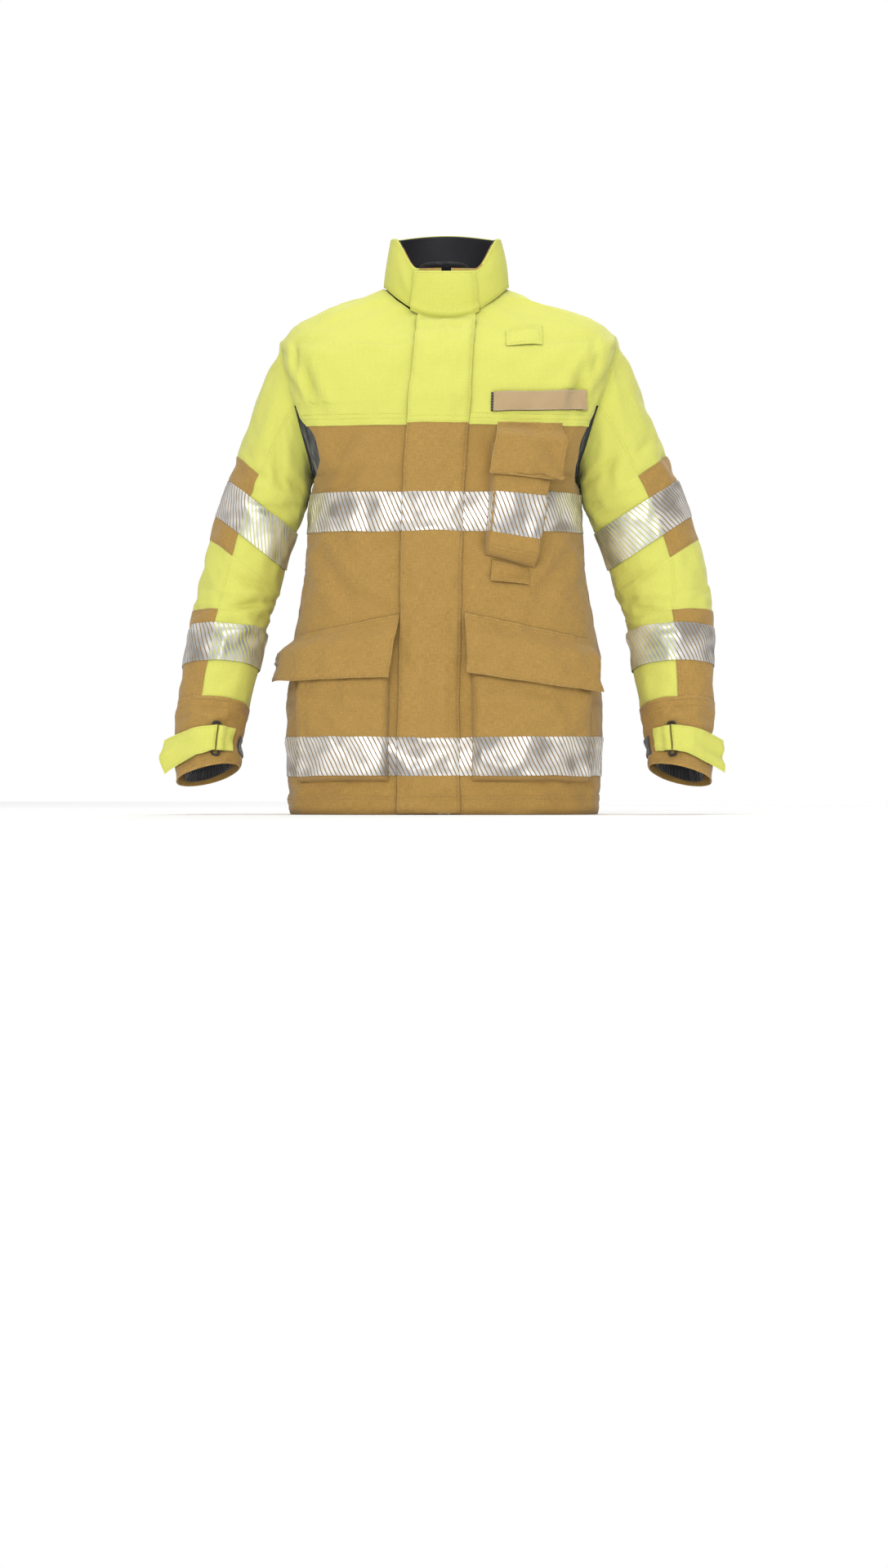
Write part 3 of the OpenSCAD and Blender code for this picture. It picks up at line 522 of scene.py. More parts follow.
class Piece:
    """Gathers the parts of one mesh: thin shells of fabric, stitches and small solids."""

    def __init__(self, name, node=None):
        """The piece is named after its CAD node and one word more, unless the node is given."""
        self.name = name
        self.node = node or name.rsplit("_", 1)[0]
        self.verts, self.faces, self.uvs, self.slots = [], [], [], []
        self.edge, self.ground = [], []
        self.count = 0
        self.materials = []
        self.flat = [0.0, 0.0, 0.0]

    def slot(self, mat):
        if mat not in self.materials:
            self.materials.append(mat)
        return self.materials.index(mat)

    def add(self, verts, faces, uv, slots, edge=None, ground=None):
        """Add one closed solid: faces as an (n, 3 or 4) array, uv for each corner."""
        verts, faces = np.asarray(verts, float), np.asarray(faces)
        if signed_volume(verts, [faces]) < 0:
            faces = faces[:, ::-1]
            uv = uv[:, ::-1]
        self.verts.append(verts)
        self.faces += (faces + self.count).tolist()
        self.uvs.append(np.asarray(uv).reshape(-1, 2))
        self.slots += list(np.broadcast_to(slots, len(faces)))
        self.edge.append(np.full(len(verts), 9.0) if edge is None else edge)
        self.ground.append(np.zeros(len(verts)) if ground is None else ground)
        self.count += len(verts)

    def shell(self, mat, place, us, vs, top=0.0, thick=1.4, ring=False, roll=1.3, mirror_u=1,
              split=None, ground=None):
        """Thin piece over a grid. place(u, v, d) gives points; top is its outer height."""
        u, v = np.meshgrid(us, vs)
        high = top(u, v) if callable(top) else np.full(u.shape, float(top))
        base = place(u, v, high)
        across = np.linalg.norm(np.diff(base, axis=1), axis=2)
        if ring:
            last = np.linalg.norm(base[:, :1] - base[:, -1:], axis=2)
            across = np.concatenate([across, last], 1)
        wide = np.concatenate([[0], np.cumsum(across.mean(0))])
        tall = np.concatenate([[0], np.cumsum(np.linalg.norm(np.diff(base, axis=0), axis=2).mean(1))])
        rows, cols = u.shape
        gap_v = np.minimum(tall, tall[-1] - tall)[:, None] + np.zeros((1, cols))
        gap_u = np.full((1, cols), 1e3) if ring else np.minimum(wide, wide[-1] - wide)[None, :]
        edge = np.minimum(gap_v, gap_u)
        sunk = thick / 2 * (1 - np.sqrt(1 - (1 - np.clip(edge / roll, 0, 1)) ** 2))
        outer, inner = place(u, v, high - sunk), place(u, v, high - thick + sunk)
        n = rows * cols
        width = cols + (1 if ring else 0)
        r, c = np.meshgrid(np.arange(rows - 1), np.arange(width - 1), indexing="ij")
        r, c = r.ravel(), c.ravel()
        e = np.arange(width - 1)
        s = np.arange(rows - 1)
        z_c, z_r = np.zeros_like(e), np.zeros_like(s)
        top_r, end_c = z_c + rows - 1, z_r + width - 1
        loops = [((0, r, c), (0, r, c + 1), (0, r + 1, c + 1), (0, r + 1, c)),
                 ((1, r + 1, c), (1, r + 1, c + 1), (1, r, c + 1), (1, r, c)),
                 ((0, z_c, e + 1), (0, z_c, e), (1, z_c, e), (1, z_c, e + 1)),
                 ((0, top_r, e), (0, top_r, e + 1), (1, top_r, e + 1), (1, top_r, e))]
        if not ring:
            loops += [((0, s, z_r), (0, s + 1, z_r), (1, s + 1, z_r), (1, s, z_r)),
                      ((0, s + 1, end_c), (0, s, end_c), (1, s, end_c), (1, s + 1, end_c))]
        faces = np.concatenate([np.stack([k * n + a * cols + b % cols for k, a, b in quad], -1)
                                for quad in loops])
        uv = np.concatenate([np.stack([np.stack([wide[b] * mirror_u, tall[a]], -1)
                                       for _, a, b in quad], 1) for quad in loops])
        slots = self.slot(mat)
        if split:
            second, where = split
            mid_u, mid_v = (us[np.minimum(c, cols - 1)], (vs[r] + vs[r + 1]) / 2)
            pick = np.where(where(mid_u, mid_v), self.slot(second), slots)
            edges = sum(len(quad[0][2]) for quad in loops[2:])
            slots = np.concatenate([pick, pick, np.full(edges, slots)])
            low = len(pick) * 2 + 2 * len(e)
            if not ring:
                side = np.where(where(np.zeros(len(s)), (vs[s] + vs[s + 1]) / 2),
                                self.slot(second), self.slot(mat))
                slots[low:] = np.concatenate([side, side])
            slots[len(pick) * 2 + len(e):low] = pick[-len(e):]
        land = None if ground is None else np.tile(ground(u, v).ravel(), 2)
        self.add(np.concatenate([outer.reshape(-1, 3), inner.reshape(-1, 3)]), faces, uv * MM,
                 slots, np.tile(edge.ravel(), 2), land)
        area = grid_area(base)
        self.flat = [max(self.flat[0], wide[-1]), max(self.flat[1], tall[-1]), self.flat[2] + area]
        return self

    def stitch(self, mat, place, u, v, top=0.0, pitch=3.6, length=2.5, width=0.55):
        """A row of stitches along the line u, v of a place function."""
        u, v = np.broadcast_arrays(np.asarray(u, float), np.asarray(v, float))
        high = top(u, v) if callable(top) else np.full(u.shape, float(top))
        line = place(u, v, high)
        up = place(u, v, high + 1.0) - line
        run = np.concatenate([[0], np.cumsum(np.linalg.norm(np.diff(line, axis=0), axis=1))])
        starts = np.arange(1.0, run[-1] - length, pitch)
        if len(starts) == 0:
            return self
        at = lambda s, w: np.stack([np.interp(s, run, w[:, k]) for k in range(3)], -1)
        a, b, n = at(starts, line), at(starts + length, line), at(starts + length / 2, up)
        n /= np.linalg.norm(n, axis=1)[:, None]
        side = np.cross(b - a, n)
        side *= (width / 2 / np.maximum(np.linalg.norm(side, axis=1), 1e-6))[:, None]
        mid = (a + b) / 2 + n * 0.1
        lift = n * width * 0.5
        ring_a, ring_b = a * 0.62 + mid * 0.38, b * 0.62 + mid * 0.38
        verts = np.stack([a - lift, ring_a + side, ring_a + lift, ring_a - side, ring_a - lift,
                          ring_b + side, ring_b + lift, ring_b - side, ring_b - lift, b - lift], 1)
        tris = np.array([[0, 1, 2], [0, 2, 3], [0, 3, 4], [0, 4, 1],
                         [1, 5, 6], [1, 6, 2], [2, 6, 7], [2, 7, 3], [3, 7, 8], [3, 8, 4],
                         [4, 8, 5], [4, 5, 1], [9, 6, 5], [9, 7, 6], [9, 8, 7], [9, 5, 8]])
        faces = (tris[None] + 10 * np.arange(len(starts))[:, None, None]).reshape(-1, 3)
        uv = np.zeros((len(faces), 3, 2))
        uv[..., 0] = np.repeat(starts, len(tris))[:, None] * MM
        self.add(verts.reshape(-1, 3), faces, uv, self.slot(mat))
        return self

    def finish(self):
        mesh = bpy.data.meshes.new(self.name)
        mesh.from_pydata((np.concatenate(self.verts) * MM).tolist(), [], self.faces)
        layer = mesh.uv_layers.new(name="UVMap")
        layer.data.foreach_set("uv", np.concatenate(self.uvs).astype(np.float32).ravel())
        for label, parts in (("edge", self.edge), ("ground", self.ground)):
            values = mesh.attributes.new(label, "FLOAT", "POINT")
            values.data.foreach_set("value", np.concatenate(parts).astype(np.float32))
        mesh.polygons.foreach_set("material_index", np.array(self.slots, np.int32))
        mesh.polygons.foreach_set("use_smooth", np.ones(len(self.faces), bool))
        for mat in self.materials:
            mesh.materials.append(mat)
        mesh.update()
        obj = bpy.data.objects.new(self.name, mesh)
        bpy.context.scene.collection.objects.link(obj)
        return obj


def grid_area(p):
    """Area of a grid of points."""
    a, b = p[1:, 1:] - p[:-1, :-1], p[1:, :-1] - p[:-1, 1:]
    return float(np.linalg.norm(np.cross(a, b), axis=2).sum() / 2)


def swept(piece, mat, path, section, closed=True):
    """A solid swept along a path: section is a list of (side, up) in mm, path of (point, side, up)."""
    pts, sides, ups = path
    ring = np.stack([pts + sides * a + ups * b for a, b in section], 1)
    n, m = ring.shape[:2]
    i, j = np.meshgrid(np.arange(n if closed else n - 1), np.arange(m), indexing="ij")
    i, j = i.ravel(), j.ravel()
    k, l = (i + 1) % n, (j + 1) % m
    faces = np.stack([i * m + j, k * m + j, k * m + l, i * m + l], -1)
    uv = np.stack([np.stack([a, b], -1) for a, b in ((i, j), (i + 1, j), (i + 1, j + 1), (i, j + 1))], 1)
    verts = ring.reshape(-1, 3)
    if not closed:
        caps = []
        for first, turn in ((0, 1), ((n - 1) * m, -1)):
            for q in range(1, m - 2, 2):
                caps.append([first, first + q + 2, first + q + 1, first + q][::turn])
            if m % 2:
                caps.append([first, first, first + m - 1, first + m - 2][::turn])
        faces = np.concatenate([faces, np.array(caps)])
        uv = np.concatenate([uv, np.zeros((len(caps), 4, 2))])
    piece.add(verts, faces, uv * 0.002, piece.slot(mat))
    return piece


# ---------------------------------------------------------------- materials
def srgb(r, g, b):
    """Linear colour from sRGB values of 0 to 255."""
    def linear(c):
        c /= 255
        return c / 12.92 if c <= 0.04045 else ((c + 0.055) / 1.055) ** 2.4
    return linear(r), linear(g), linear(b), 1.0


def darker(colour, k):
    """The colour at another strength; above 1 it is lighter."""
    return tuple(c * k for c in colour[:3]) + (1.0,)


class Shade:
    """Wires up one material's nodes."""

    def __init__(self, name, **values):
        self.mat = bpy.data.materials.new(name)
        self.mat.use_nodes = True
        self.tree = self.mat.node_tree
        self.bsdf = self.tree.nodes["Principled BSDF"]
        for key, value in values.items():
            self.bsdf.inputs[key.replace("_", " ")].default_value = value

    def put(self, kind, inputs=None, **props):
        node = self.tree.nodes.new("ShaderNode" + kind)
        for key, value in props.items():
            setattr(node, key, value)
        for key, value in (inputs or {}).items():
            self.wire(node.inputs[key], value)
        return node

    def wire(self, socket, value):
        if isinstance(value, bpy.types.NodeSocket):
            self.tree.links.new(value, socket)
        else:
            socket.default_value = value

    def math(self, operation, *values):
        return self.put("Math", dict(enumerate(values)), operation=operation).outputs[0]

    def times(self, a, b):
        return self.math("MULTIPLY", a, b)

    def plus(self, a, b):
        return self.math("ADD", a, b)

    def scaled(self, vector, *factors):
        values = {0: vector, 1: factors}
        return self.put("VectorMath", values, operation="MULTIPLY").outputs[0]

    def ramp(self, value, low, high, to_low=0.0, to_high=1.0):
        keys = ("Value", "From Min", "From Max", "To Min", "To Max")
        return self.put("MapRange", dict(zip(keys, (value, low, high, to_low, to_high)))).outputs[0]

    def mix(self, factor, a, b):
        node = self.put("Mix", data_type="RGBA")
        for socket, value in ((node.inputs[0], factor), (node.inputs[6], a), (node.inputs[7], b)):
            self.wire(socket, value)
        return node.outputs[2]

    def over(self, tone, value, low, high, most, colour):
        """Lay a colour over a tone as a value runs from low to high, at most so strongly."""
        return self.mix(self.ramp(value, low, high, 0.0, most), tone, colour)

    def uv(self):
        """Fabric coordinates in millimetres."""
        return self.scaled(self.put("UVMap", uv_map="UVMap").outputs[0], 1000, 1000, 1000)

    def axes(self, vector):
        node = self.put("SeparateXYZ", {0: vector})
        return node.outputs[0], node.outputs[1]

    def noise(self, vector, scale, detail=2.0, rough=0.5):
        values = {"Vector": vector, "Scale": scale, "Detail": detail, "Roughness": rough}
        return self.put("TexNoise", values).outputs[0]

    def place(self):
        """Place on the object, in millimetres, for effects that ignore the weave's direction."""
        return self.scaled(self.put("TexCoord").outputs["Object"], 1000, 1000, 1000)

    def value(self, label):
        return self.put("Attribute", attribute_name=label).outputs["Fac"]

    def thread(self, x, period, sharp=1.0):
        """Rounded ridge of threads, 0 to 1, along a coordinate."""
        wave = self.math("SINE", self.times(x, 2 * math.pi / period))
        return self.math("POWER", self.math("MULTIPLY_ADD", wave, 0.5, 0.5), sharp)

    def bump(self, height, strength, distance=0.0005, under=None):
        values = {"Height": height, "Strength": strength, "Distance": distance}
        if under is not None:
            values["Normal"] = under
        return self.put("Bump", values).outputs[0]

    def done(self, colour=None, rough=None, normal=None, metallic=None):
        for key, value in (("Base Color", colour), ("Roughness", rough), ("Normal", normal),
                           ("Metallic", metallic)):
            if value is not None:
                self.wire(self.bsdf.inputs[key], value)
        return self.mat


def ripstop_cloth(name, colour, worn, heather, grid, grid_depth, rough=0.82):
    """Aramid shell cloth: fine twill, a ripstop grid, mottled dye, slightly worn edges and painted shade
    in creases.
    """
    s = Shade(name, Sheen_Weight=0.18, Sheen_Roughness=0.45, Specular_IOR_Level=0.28)
    uv, place = s.uv(), s.place()
    x, y = s.axes(uv)
    twill = s.thread(s.plus(x, y), 1.3)
    cross = s.thread(s.math("SUBTRACT", x, s.times(y, 0.2)), 0.9)
    rip = s.math("MAXIMUM", s.thread(x, grid, 26.0), s.thread(y, grid, 26.0))
    stretched = s.scaled(uv, 0.12, 1.4, 1)
    upright = s.scaled(uv, 1.4, 0.12, 1)
    slub = s.plus(s.noise(stretched, 1.0, 3.0, 0.6), s.noise(upright, 1.0, 3.0, 0.6))
    cloud = s.noise(place, 0.014, 3.0, 0.55)
    tone = s.mix(s.ramp(slub, 0.75, 1.25), darker(colour, 1 - heather), darker(colour, 1 + heather))
    tone = s.over(tone, cloud, 0.3, 0.7, 0.35, darker(colour, 0.93))
    tone = s.mix(s.times(rip, grid_depth), tone, darker(colour, 0.86))
    rubbed = s.ramp(s.noise(place, 0.12, 4.0, 0.6), 0.42, 0.72)
    wear = s.times(s.ramp(s.value("edge"), 2.2, 0.2), rubbed)
    tone = s.mix(s.times(wear, 0.55), tone, worn)
    # Painted shade: the cloth turns darker where ambient occlusion finds creases and recesses.
    painted_crease_shade = s.put("AmbientOcclusion", {"Distance": 0.012}, samples=6).outputs["AO"]
    tone = s.over(tone, painted_crease_shade, 0.95, 0.35, 0.6, darker(colour, 0.42))
    fine = s.bump(s.plus(twill, s.times(cross, 0.5)), 0.25, 0.00025)
    ribs = s.bump(rip, 0.30, 0.0003, fine)
    rumple = s.bump(s.noise(place, 0.055, 3.0, 0.5), 0.35, 0.0035, ribs)
    hems = s.bump(s.ramp(s.value("edge"), 3.2, 5.2), 0.5, 0.0007, rumple)
    return s.done(tone, s.ramp(slub, 0.7, 1.3, rough - 0.05, rough + 0.06), hems)


LIME = srgb(217, 218, 106)
KHAKI = srgb(174, 138, 73)


def thread_material(name, colour):
    s = Shade(name, Roughness=0.6, Sheen_Weight=0.3)
    x, y = s.axes(s.uv())
    twist = s.thread(s.plus(x, y), 0.5)
    return s.done(s.mix(twist, darker(colour, 0.8), colour), None, s.bump(twist, 0.3, 0.0002))


BAR_PITCH, BAR_SLANT, BAR_GAP = 6.1, 26, 0.26      # mm, degrees, and a share of the pitch


def tape_material():
    """Segmented reflective film: metallic bars that lean, with the cloth showing between them; the
    film's near-white patches are painted highlights.
    """
    s = Shade("reflective_tape", Specular_IOR_Level=0.5)
    uv, place = s.uv(), s.place()
    x, y = s.axes(uv)
    slant = math.tan(math.radians(BAR_SLANT))
    bar = s.math("FRACT", s.math("DIVIDE", s.plus(x, s.times(y, slant)), BAR_PITCH))
    gap = s.math("LESS_THAN", bar, BAR_GAP)
    # Painted highlights: the film's grey is mottled with near-white patches that stand in for its
    # highlights.
    patch = s.noise(place, 0.022, 2.0, 0.5)
    film = s.mix(s.ramp(patch, 0.36, 0.58), srgb(166, 167, 168), srgb(243, 242, 238))
    ground = s.mix(s.value("ground"), darker(KHAKI, 0.66), darker(LIME, 0.86))
    scuffs = s.noise(s.scaled(uv, 0.5, 0.05, 1), 1.0, 5.0, 0.65)
    film = s.over(film, scuffs, 0.60, 0.8, 0.3, srgb(165, 166, 168))
    tone = s.mix(gap, film, ground)
    metallic = s.times(s.math("SUBTRACT", 1.0, gap), 0.5)
    rough = s.mix(gap, (0.40, 0.40, 0.40, 1), (0.85, 0.85, 0.85, 1))
    hexes = s.put("TexVoronoi", {"Vector": uv, "Scale": 2.0}, feature="DISTANCE_TO_EDGE").outputs[0]
    level = s.bump(s.ramp(bar, 0.21, 0.25), 0.6, 0.0002)
    level = s.bump(hexes, 0.06, 0.0001, level)
    level = s.bump(s.noise(place, 0.02, 2.0, 0.5), 0.35, 0.006, level)
    return s.done(tone, rough, level, metallic)


def stretch_material():
    s = Shade("stretch_fabric", Sheen_Weight=0.35, Sheen_Roughness=0.4)
    colour = srgb(46, 49, 54)
    uv, place = s.uv(), s.place()
    x, y = s.axes(uv)
    rib = s.thread(x, 1.8)
    tone = s.mix(s.times(rib, 0.5), colour, darker(colour, 1.7))
    tone = s.over(tone, s.noise(place, 0.06, 3.0), 0.35, 0.7, 0.5, darker(colour, 0.55))
    slack = s.noise(s.scaled(place, 1, 1, 0.25), 0.07, 2.0)
    folds = s.bump(slack, 0.7, 0.006, s.bump(rib, 0.4, 0.0004))
    return s.done(tone, s.ramp(rib, 0, 1, 0.7, 0.9), folds)


def lining_material():
    """Quilted inner lining: black aramid with a soft sheen, finely woven."""
    s = Shade("lining_fabric", Sheen_Weight=0.25, Sheen_Roughness=0.35)
    colour = srgb(38, 38, 44)
    uv, place = s.uv(), s.place()
    x, y = s.axes(uv)
    plain = s.times(s.thread(x, 1.1), s.thread(y, 1.1))
    tone = s.mix(plain, darker(colour, 0.75), darker(colour, 1.5))
    tone = s.over(tone, s.noise(place, 0.03, 3.0), 0.35, 0.7, 0.4, darker(colour, 0.6))
    return s.done(tone, s.ramp(plain, 0, 1, 0.6, 0.85), s.bump(plain, 0.35, 0.0003))


def hook_material():
    """Hook-and-loop tape: black, with a dense field of tiny loops."""
    s = Shade("black_hook", Roughness=0.75, Sheen_Weight=0.4)
    uv = s.uv()
    cells = s.put("TexVoronoi", {"Vector": uv, "Scale": 0.9}).outputs[0]
    tone = s.mix(s.ramp(cells, 0.1, 0.7), srgb(46, 46, 48), srgb(14, 14, 15))
    return s.done(tone, None, s.bump(cells, 0.7, 0.0008))


def knit_material():
    s = Shade("knit", Sheen_Weight=0.4, Sheen_Roughness=0.5)
    colour = srgb(52, 53, 58)
    x, y = s.axes(s.uv())
    wale = s.thread(x, 2.4)
    course = s.thread(s.plus(y, s.times(wale, 0.6)), 1.5)
    loops = s.times(wale, s.math("MULTIPLY_ADD", course, 0.6, 0.4))
    tone = s.mix(loops, darker(colour, 0.35), darker(colour, 1.4))
    return s.done(tone, s.ramp(loops, 0, 1, 0.95, 0.75), s.bump(loops, 0.8, 0.0009))


def plastic_material(name, colour, rough):
    """Moulded acetal with a fine grain and rubbed, slightly shinier patches."""
    s = Shade(name, Specular_IOR_Level=0.5)
    place = s.place()
    grain = s.noise(place, 1.6, 3.0, 0.6)
    rubbed = s.noise(place, 0.09, 3.0, 0.5)
    tone = s.mix(s.ramp(rubbed, 0.4, 0.7), colour, darker(colour, 1.7))
    return s.done(tone, s.ramp(rubbed, 0.35, 0.7, rough + 0.12, rough - 0.08),
                  s.bump(grain, 0.25, 0.0002))


def webbing_material():
    """Beige grosgrain of the name strip, ribbed across its width."""
    s = Shade("sand_fabric", Sheen_Weight=0.25, Specular_IOR_Level=0.3)
    colour = srgb(190, 163, 122)
    uv, place = s.uv(), s.place()
    x, y = s.axes(uv)
    rib = s.thread(x, 0.9)
    tone = s.mix(rib, darker(colour, 0.88), darker(colour, 1.06))
    tone = s.over(tone, s.noise(place, 0.05, 3.0), 0.4, 0.7, 0.3, darker(colour, 0.85))
    return s.done(tone, s.ramp(rib, 0, 1, 0.85, 0.7), s.bump(rib, 0.4, 0.0003))


lime = ripstop_cloth("lime_fabric", LIME, srgb(234, 236, 140), 0.045, 6.0, 0.14)
khaki = ripstop_cloth("khaki_fabric", KHAKI, srgb(208, 176, 114), 0.24, 5.0, 0.34)
silver = tape_material()
stretch = stretch_material()
quilt = lining_material()
hook = hook_material()
knit = knit_material()
black = plastic_material("black_plastic", srgb(30, 31, 34), 0.38)
zip_teeth_plastic = plastic_material("zip_plastic", srgb(44, 44, 47), 0.30)
webbing = webbing_material()
lime_thread = thread_material("lime_thread", srgb(206, 212, 70))
khaki_thread = thread_material("khaki_thread", srgb(160, 124, 66))
grey_thread = thread_material("grey_thread", srgb(200, 198, 190))
SEAM = {lime: lime_thread, khaki: khaki_thread}


# ---------------------------------------------------------------- body panels
ZIP_GAP = 8                     # from the centre line to a front panel's edge
GUSSET_LOW, GUSSET_TOP = 415.0, 532.0
GUSSET_DIP = {-1: 30.0, 1: 17.0}
LAP = 6.0                       # how far the yoke laps over the lower panels
BAND = 24.0                     # height of the hem band
LOWER, UPPER = (0, YOKE + 1), (YOKE - LAP, NECK)


def stop_col(h, side):
    """Where a panel ends, 1 at the side or armhole and less along the gusset."""
    span = np.clip((GUSSET_TOP - h) / (GUSSET_TOP - GUSSET_LOW), 0, 1)
    dip = np.where(np.asarray(side) > 0, GUSSET_DIP[1], GUSSET_DIP[-1])
    return column_of(90 - dip * np.sin(np.pi * span))


def panel_place(side, h0, h1, gap):
    """Place function of a front half, from the zip's gap to the side edge."""
    def place(u, v, d):
        h = mix(h0, h1, v)
        q = mix(column_of(angle_at(gap, h)), stop_col(h, side), u)
        return FORM.sample("front", row_of(h), HALF + side * HALF * q, d)
    return place


def whole_place(h0, h1):
    """Place function of a back panel, from side to side."""
    def place(u, v, d):
        h = mix(h0, h1, v)
        return FORM.sample("back", row_of(h), HALF + HALF * stop_col(h, 2 * u - 1) * (2 * u - 1), d)
    return place


def heights(h0, h1, step=6.0, extra=()):
    """Grid lines from one height to another, closer together at the extra heights."""
    return spaced(h1 - h0, step, [h - h0 for h in extra])


def attach(piece, mat, body, held=None, *rests_on):
    """Put a piece on its body in place of its CAD node; for one that is held, work out the size it was
    cut to.
    """
    obj = piece.finish()
    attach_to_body(obj, body)
    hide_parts(piece.node)
    if held:
        declare(piece)
    return obj


def bend(piece, mat, bodies, ends, held, *rests_on, nodes=None):
    """A sheet of cloth between two bodies, baked in place with its size worked out; the two places where
    it would bend are not used.
    """
    obj = piece.finish()
    start, end = (tuple(place * MM) for place in ends)
    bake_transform(obj)
    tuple(start)
    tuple(end)
    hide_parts(*(nodes or [piece.node]))
    declare(piece)


def declare(piece):
    """Work out the width, length and area that a piece of cloth was cut to; nothing keeps them."""
    wide, tall, area = piece.flat
    wide, tall = math.ceil(wide) * MM, math.ceil(max(tall, area / wide)) * MM
    area = min(area * MM * MM, wide * tall)


def lap_top(u, v, low, high):
    """The yoke stands over the lower panel at its lapped seam."""
    h = mix(low, high, v)
    return 1.5 * (1 - step(YOKE + 4, YOKE + 22, h)) + 0.7 * step(0.985, 1.0, u)


def panel(name, side, mat, rows, top, seams, rests_on):
    """A body panel with its double seams; side 0 is a whole back panel."""
    h0, h1 = LOWER if mat is khaki else UPPER
    piece = Piece(name)
    place = panel_place(side, h0, h1, ZIP_GAP) if side else whole_place(h0, h1)
    height = lambda u, v: top(u if side else 2 * np.abs(u - 0.5), v)
    us = spaced(230 if side else 400, 5.5)
    piece.shell(mat, place, us, rows, height, 1.5, mirror_u=1 if side > 0 else -1)
    line = np.linspace(0.01, 0.99, 150)
    for row in seams:
        piece.stitch(SEAM[mat], place, line, (row - h0) / (h1 - h0), height)
    if mat is lime:
        armhole_stitches(piece, place, side, height)
    attach(piece, mat, "coat", "hung", rests_on)


def armhole_stitches(piece, place, side, height):
    """Two rows beside the armhole seam, on the yoke."""
    h0, h1 = UPPER
    rows = np.linspace((GUSSET_TOP + 2 - h0) / (h1 - h0), (606 - h0) / (h1 - h0), 60)
    for inset in (0.012, 0.04):
        for u in ((1 - inset,) if side else (inset / 2, 1 - inset / 2)):
            piece.stitch(lime_thread, place, u, rows, height)


def body_panels():
    """The two fronts and the back, each a khaki panel below a lime yoke."""
    flat = lambda u, v: 0.5 * step(BAND + 3.5, BAND + 1.5, mix(*LOWER, v))
    lapped = lambda u, v: lap_top(u, v, *UPPER)
    lower = (khaki, heights(*LOWER, 6, (BAND + 2,)), flat, (BAND, BAND - 4, 3.0))
    upper = (lime, heights(*UPPER, 5), lapped, (YOKE + 2.5, YOKE + 8.5))
    for side, word in SIDES:
        panel(f"front_panel_{word}_shell", side, *lower, f"yoke_front_{word}_shell")
        panel(f"yoke_front_{word}_shell", side, *upper, "collar_outer")
    panel("back_panel_shell", 0, *lower, "yoke_back_shell")
    panel("yoke_back_shell", 0, *upper, "collar_outer")


def gusset(side, word):
    """Spindle of stretch cloth under the arm, gathered along its length."""
    top = GUSSET_TOP - 1

    def place(u, v, d):
        s = 2 * u - 1
        low = 1 - np.abs(s)
        h_arm = mix(top, ARM_LOW[1], low)
        h_body = mix(top, GUSSET_LOW, low)
        a_body = 90 - (GUSSET_DIP[side] + 1.5) * np.sin(np.pi * low)
        h = mix(h_body, h_arm, v)
        q = mix(column_of(a_body), 1.0, v)
        front = FORM.sample("front", row_of(h), HALF + side * HALF * q, d)
        back = FORM.sample("back", row_of(h), HALF + side * HALF * q, d)
        return np.where((s <= 0)[..., None], front, back)

    dip = lambda u, v: -0.9 - 3.2 * np.sin(np.pi * v) * np.sin(np.pi * u) ** 0.5 \
        + 1.1 * np.sin(7 * np.pi * v + 9 * u) * np.sin(np.pi * v)
    piece = Piece(f"underarm_gusset_{word}_stretch")
    piece.shell(stretch, place, np.linspace(0, 1, 90), np.linspace(0, 1, 26), dip, 1.2)
    attach(piece, stretch, "coat", "stretched", f"front_panel_{word}_shell")


def quilting(wide, tall):
    """Height of a padded lining: diamonds 45 mm across that swell inwards."""
    def top(u, v):
        x, y = (u - 0.5) * wide, v * tall
        swell = np.abs(np.sin(np.pi * (x + y) / 45) * np.sin(np.pi * (x - y) / 45))
        return -4.6 - 1.6 * np.sqrt(swell)
    return top


def linings():
    """Quilted lining of the two fronts and the back."""
    h0, h1 = 12, NECK - 2
    rows = np.linspace(0, 1, 150)
    for side, word in SIDES:
        lining(f"lining_front_{word}", panel_place(side, h0, h1, 2 * ZIP_GAP), 64, rows, 230)
    lining("lining_back", whole_place(h0, h1), 128, rows, 460)


def lining(node, place, columns, rows, wide):
    piece = Piece(f"{node}_quilt")
    piece.shell(quilt, place, np.linspace(0, 1, columns), rows, quilting(wide, 700), 1.8)
    attach(piece, quilt, "coat")


# ---------------------------------------------------------------- patches on the front
def patch_place(corners, side=1):
    """Place function over four corners (x, h): lower inner, lower outer, upper outer, upper inner."""
    c = np.array(corners, float)

    def place(u, v, d):
        low = mix(c[0], c[1], u[..., None])
        high = mix(c[3], c[2], u[..., None])
        q = mix(low, high, v[..., None])
        return front_at(side * q[..., 0], q[..., 1], d)
    return place


def patch_size(corners):
    """Mean width and height of a patch."""
    c = np.array(corners, float)
    return (np.linalg.norm(c[1] - c[0]) + np.linalg.norm(c[2] - c[3])) / 2, \
        (np.linalg.norm(c[3] - c[0]) + np.linalg.norm(c[2] - c[1])) / 2


def outline(piece, mat, place, size, inset, top, sides="btlr"):
    """Rows of stitches along the chosen sides of a patch, inset in millimetres."""
    iu, iv = inset / size[0], inset / size[1]
    line = np.linspace(0, 1, 60)
    across, along = mix(iu, 1 - iu, line), mix(iv, 1 - iv, line)
    rows = {"b": (across, iv), "t": (across, 1 - iv), "l": (iu, along), "r": (1 - iu, along)}
    for side in sides:
        piece.stitch(mat, place, *rows[side], top)


def cut_patch(name, mat, corners, steps, top, thick, side=1, node=None):
    """A piece cut to four corners, with its place function and its size."""
    place, size = patch_place(corners, side), patch_size(corners)
    piece = Piece(name, node)
    us, vs = spaced(size[0], steps[0]), spaced(size[1], steps[1])
    piece.shell(mat, place, us, vs, top, thick, mirror_u=side)
    return piece, place, size


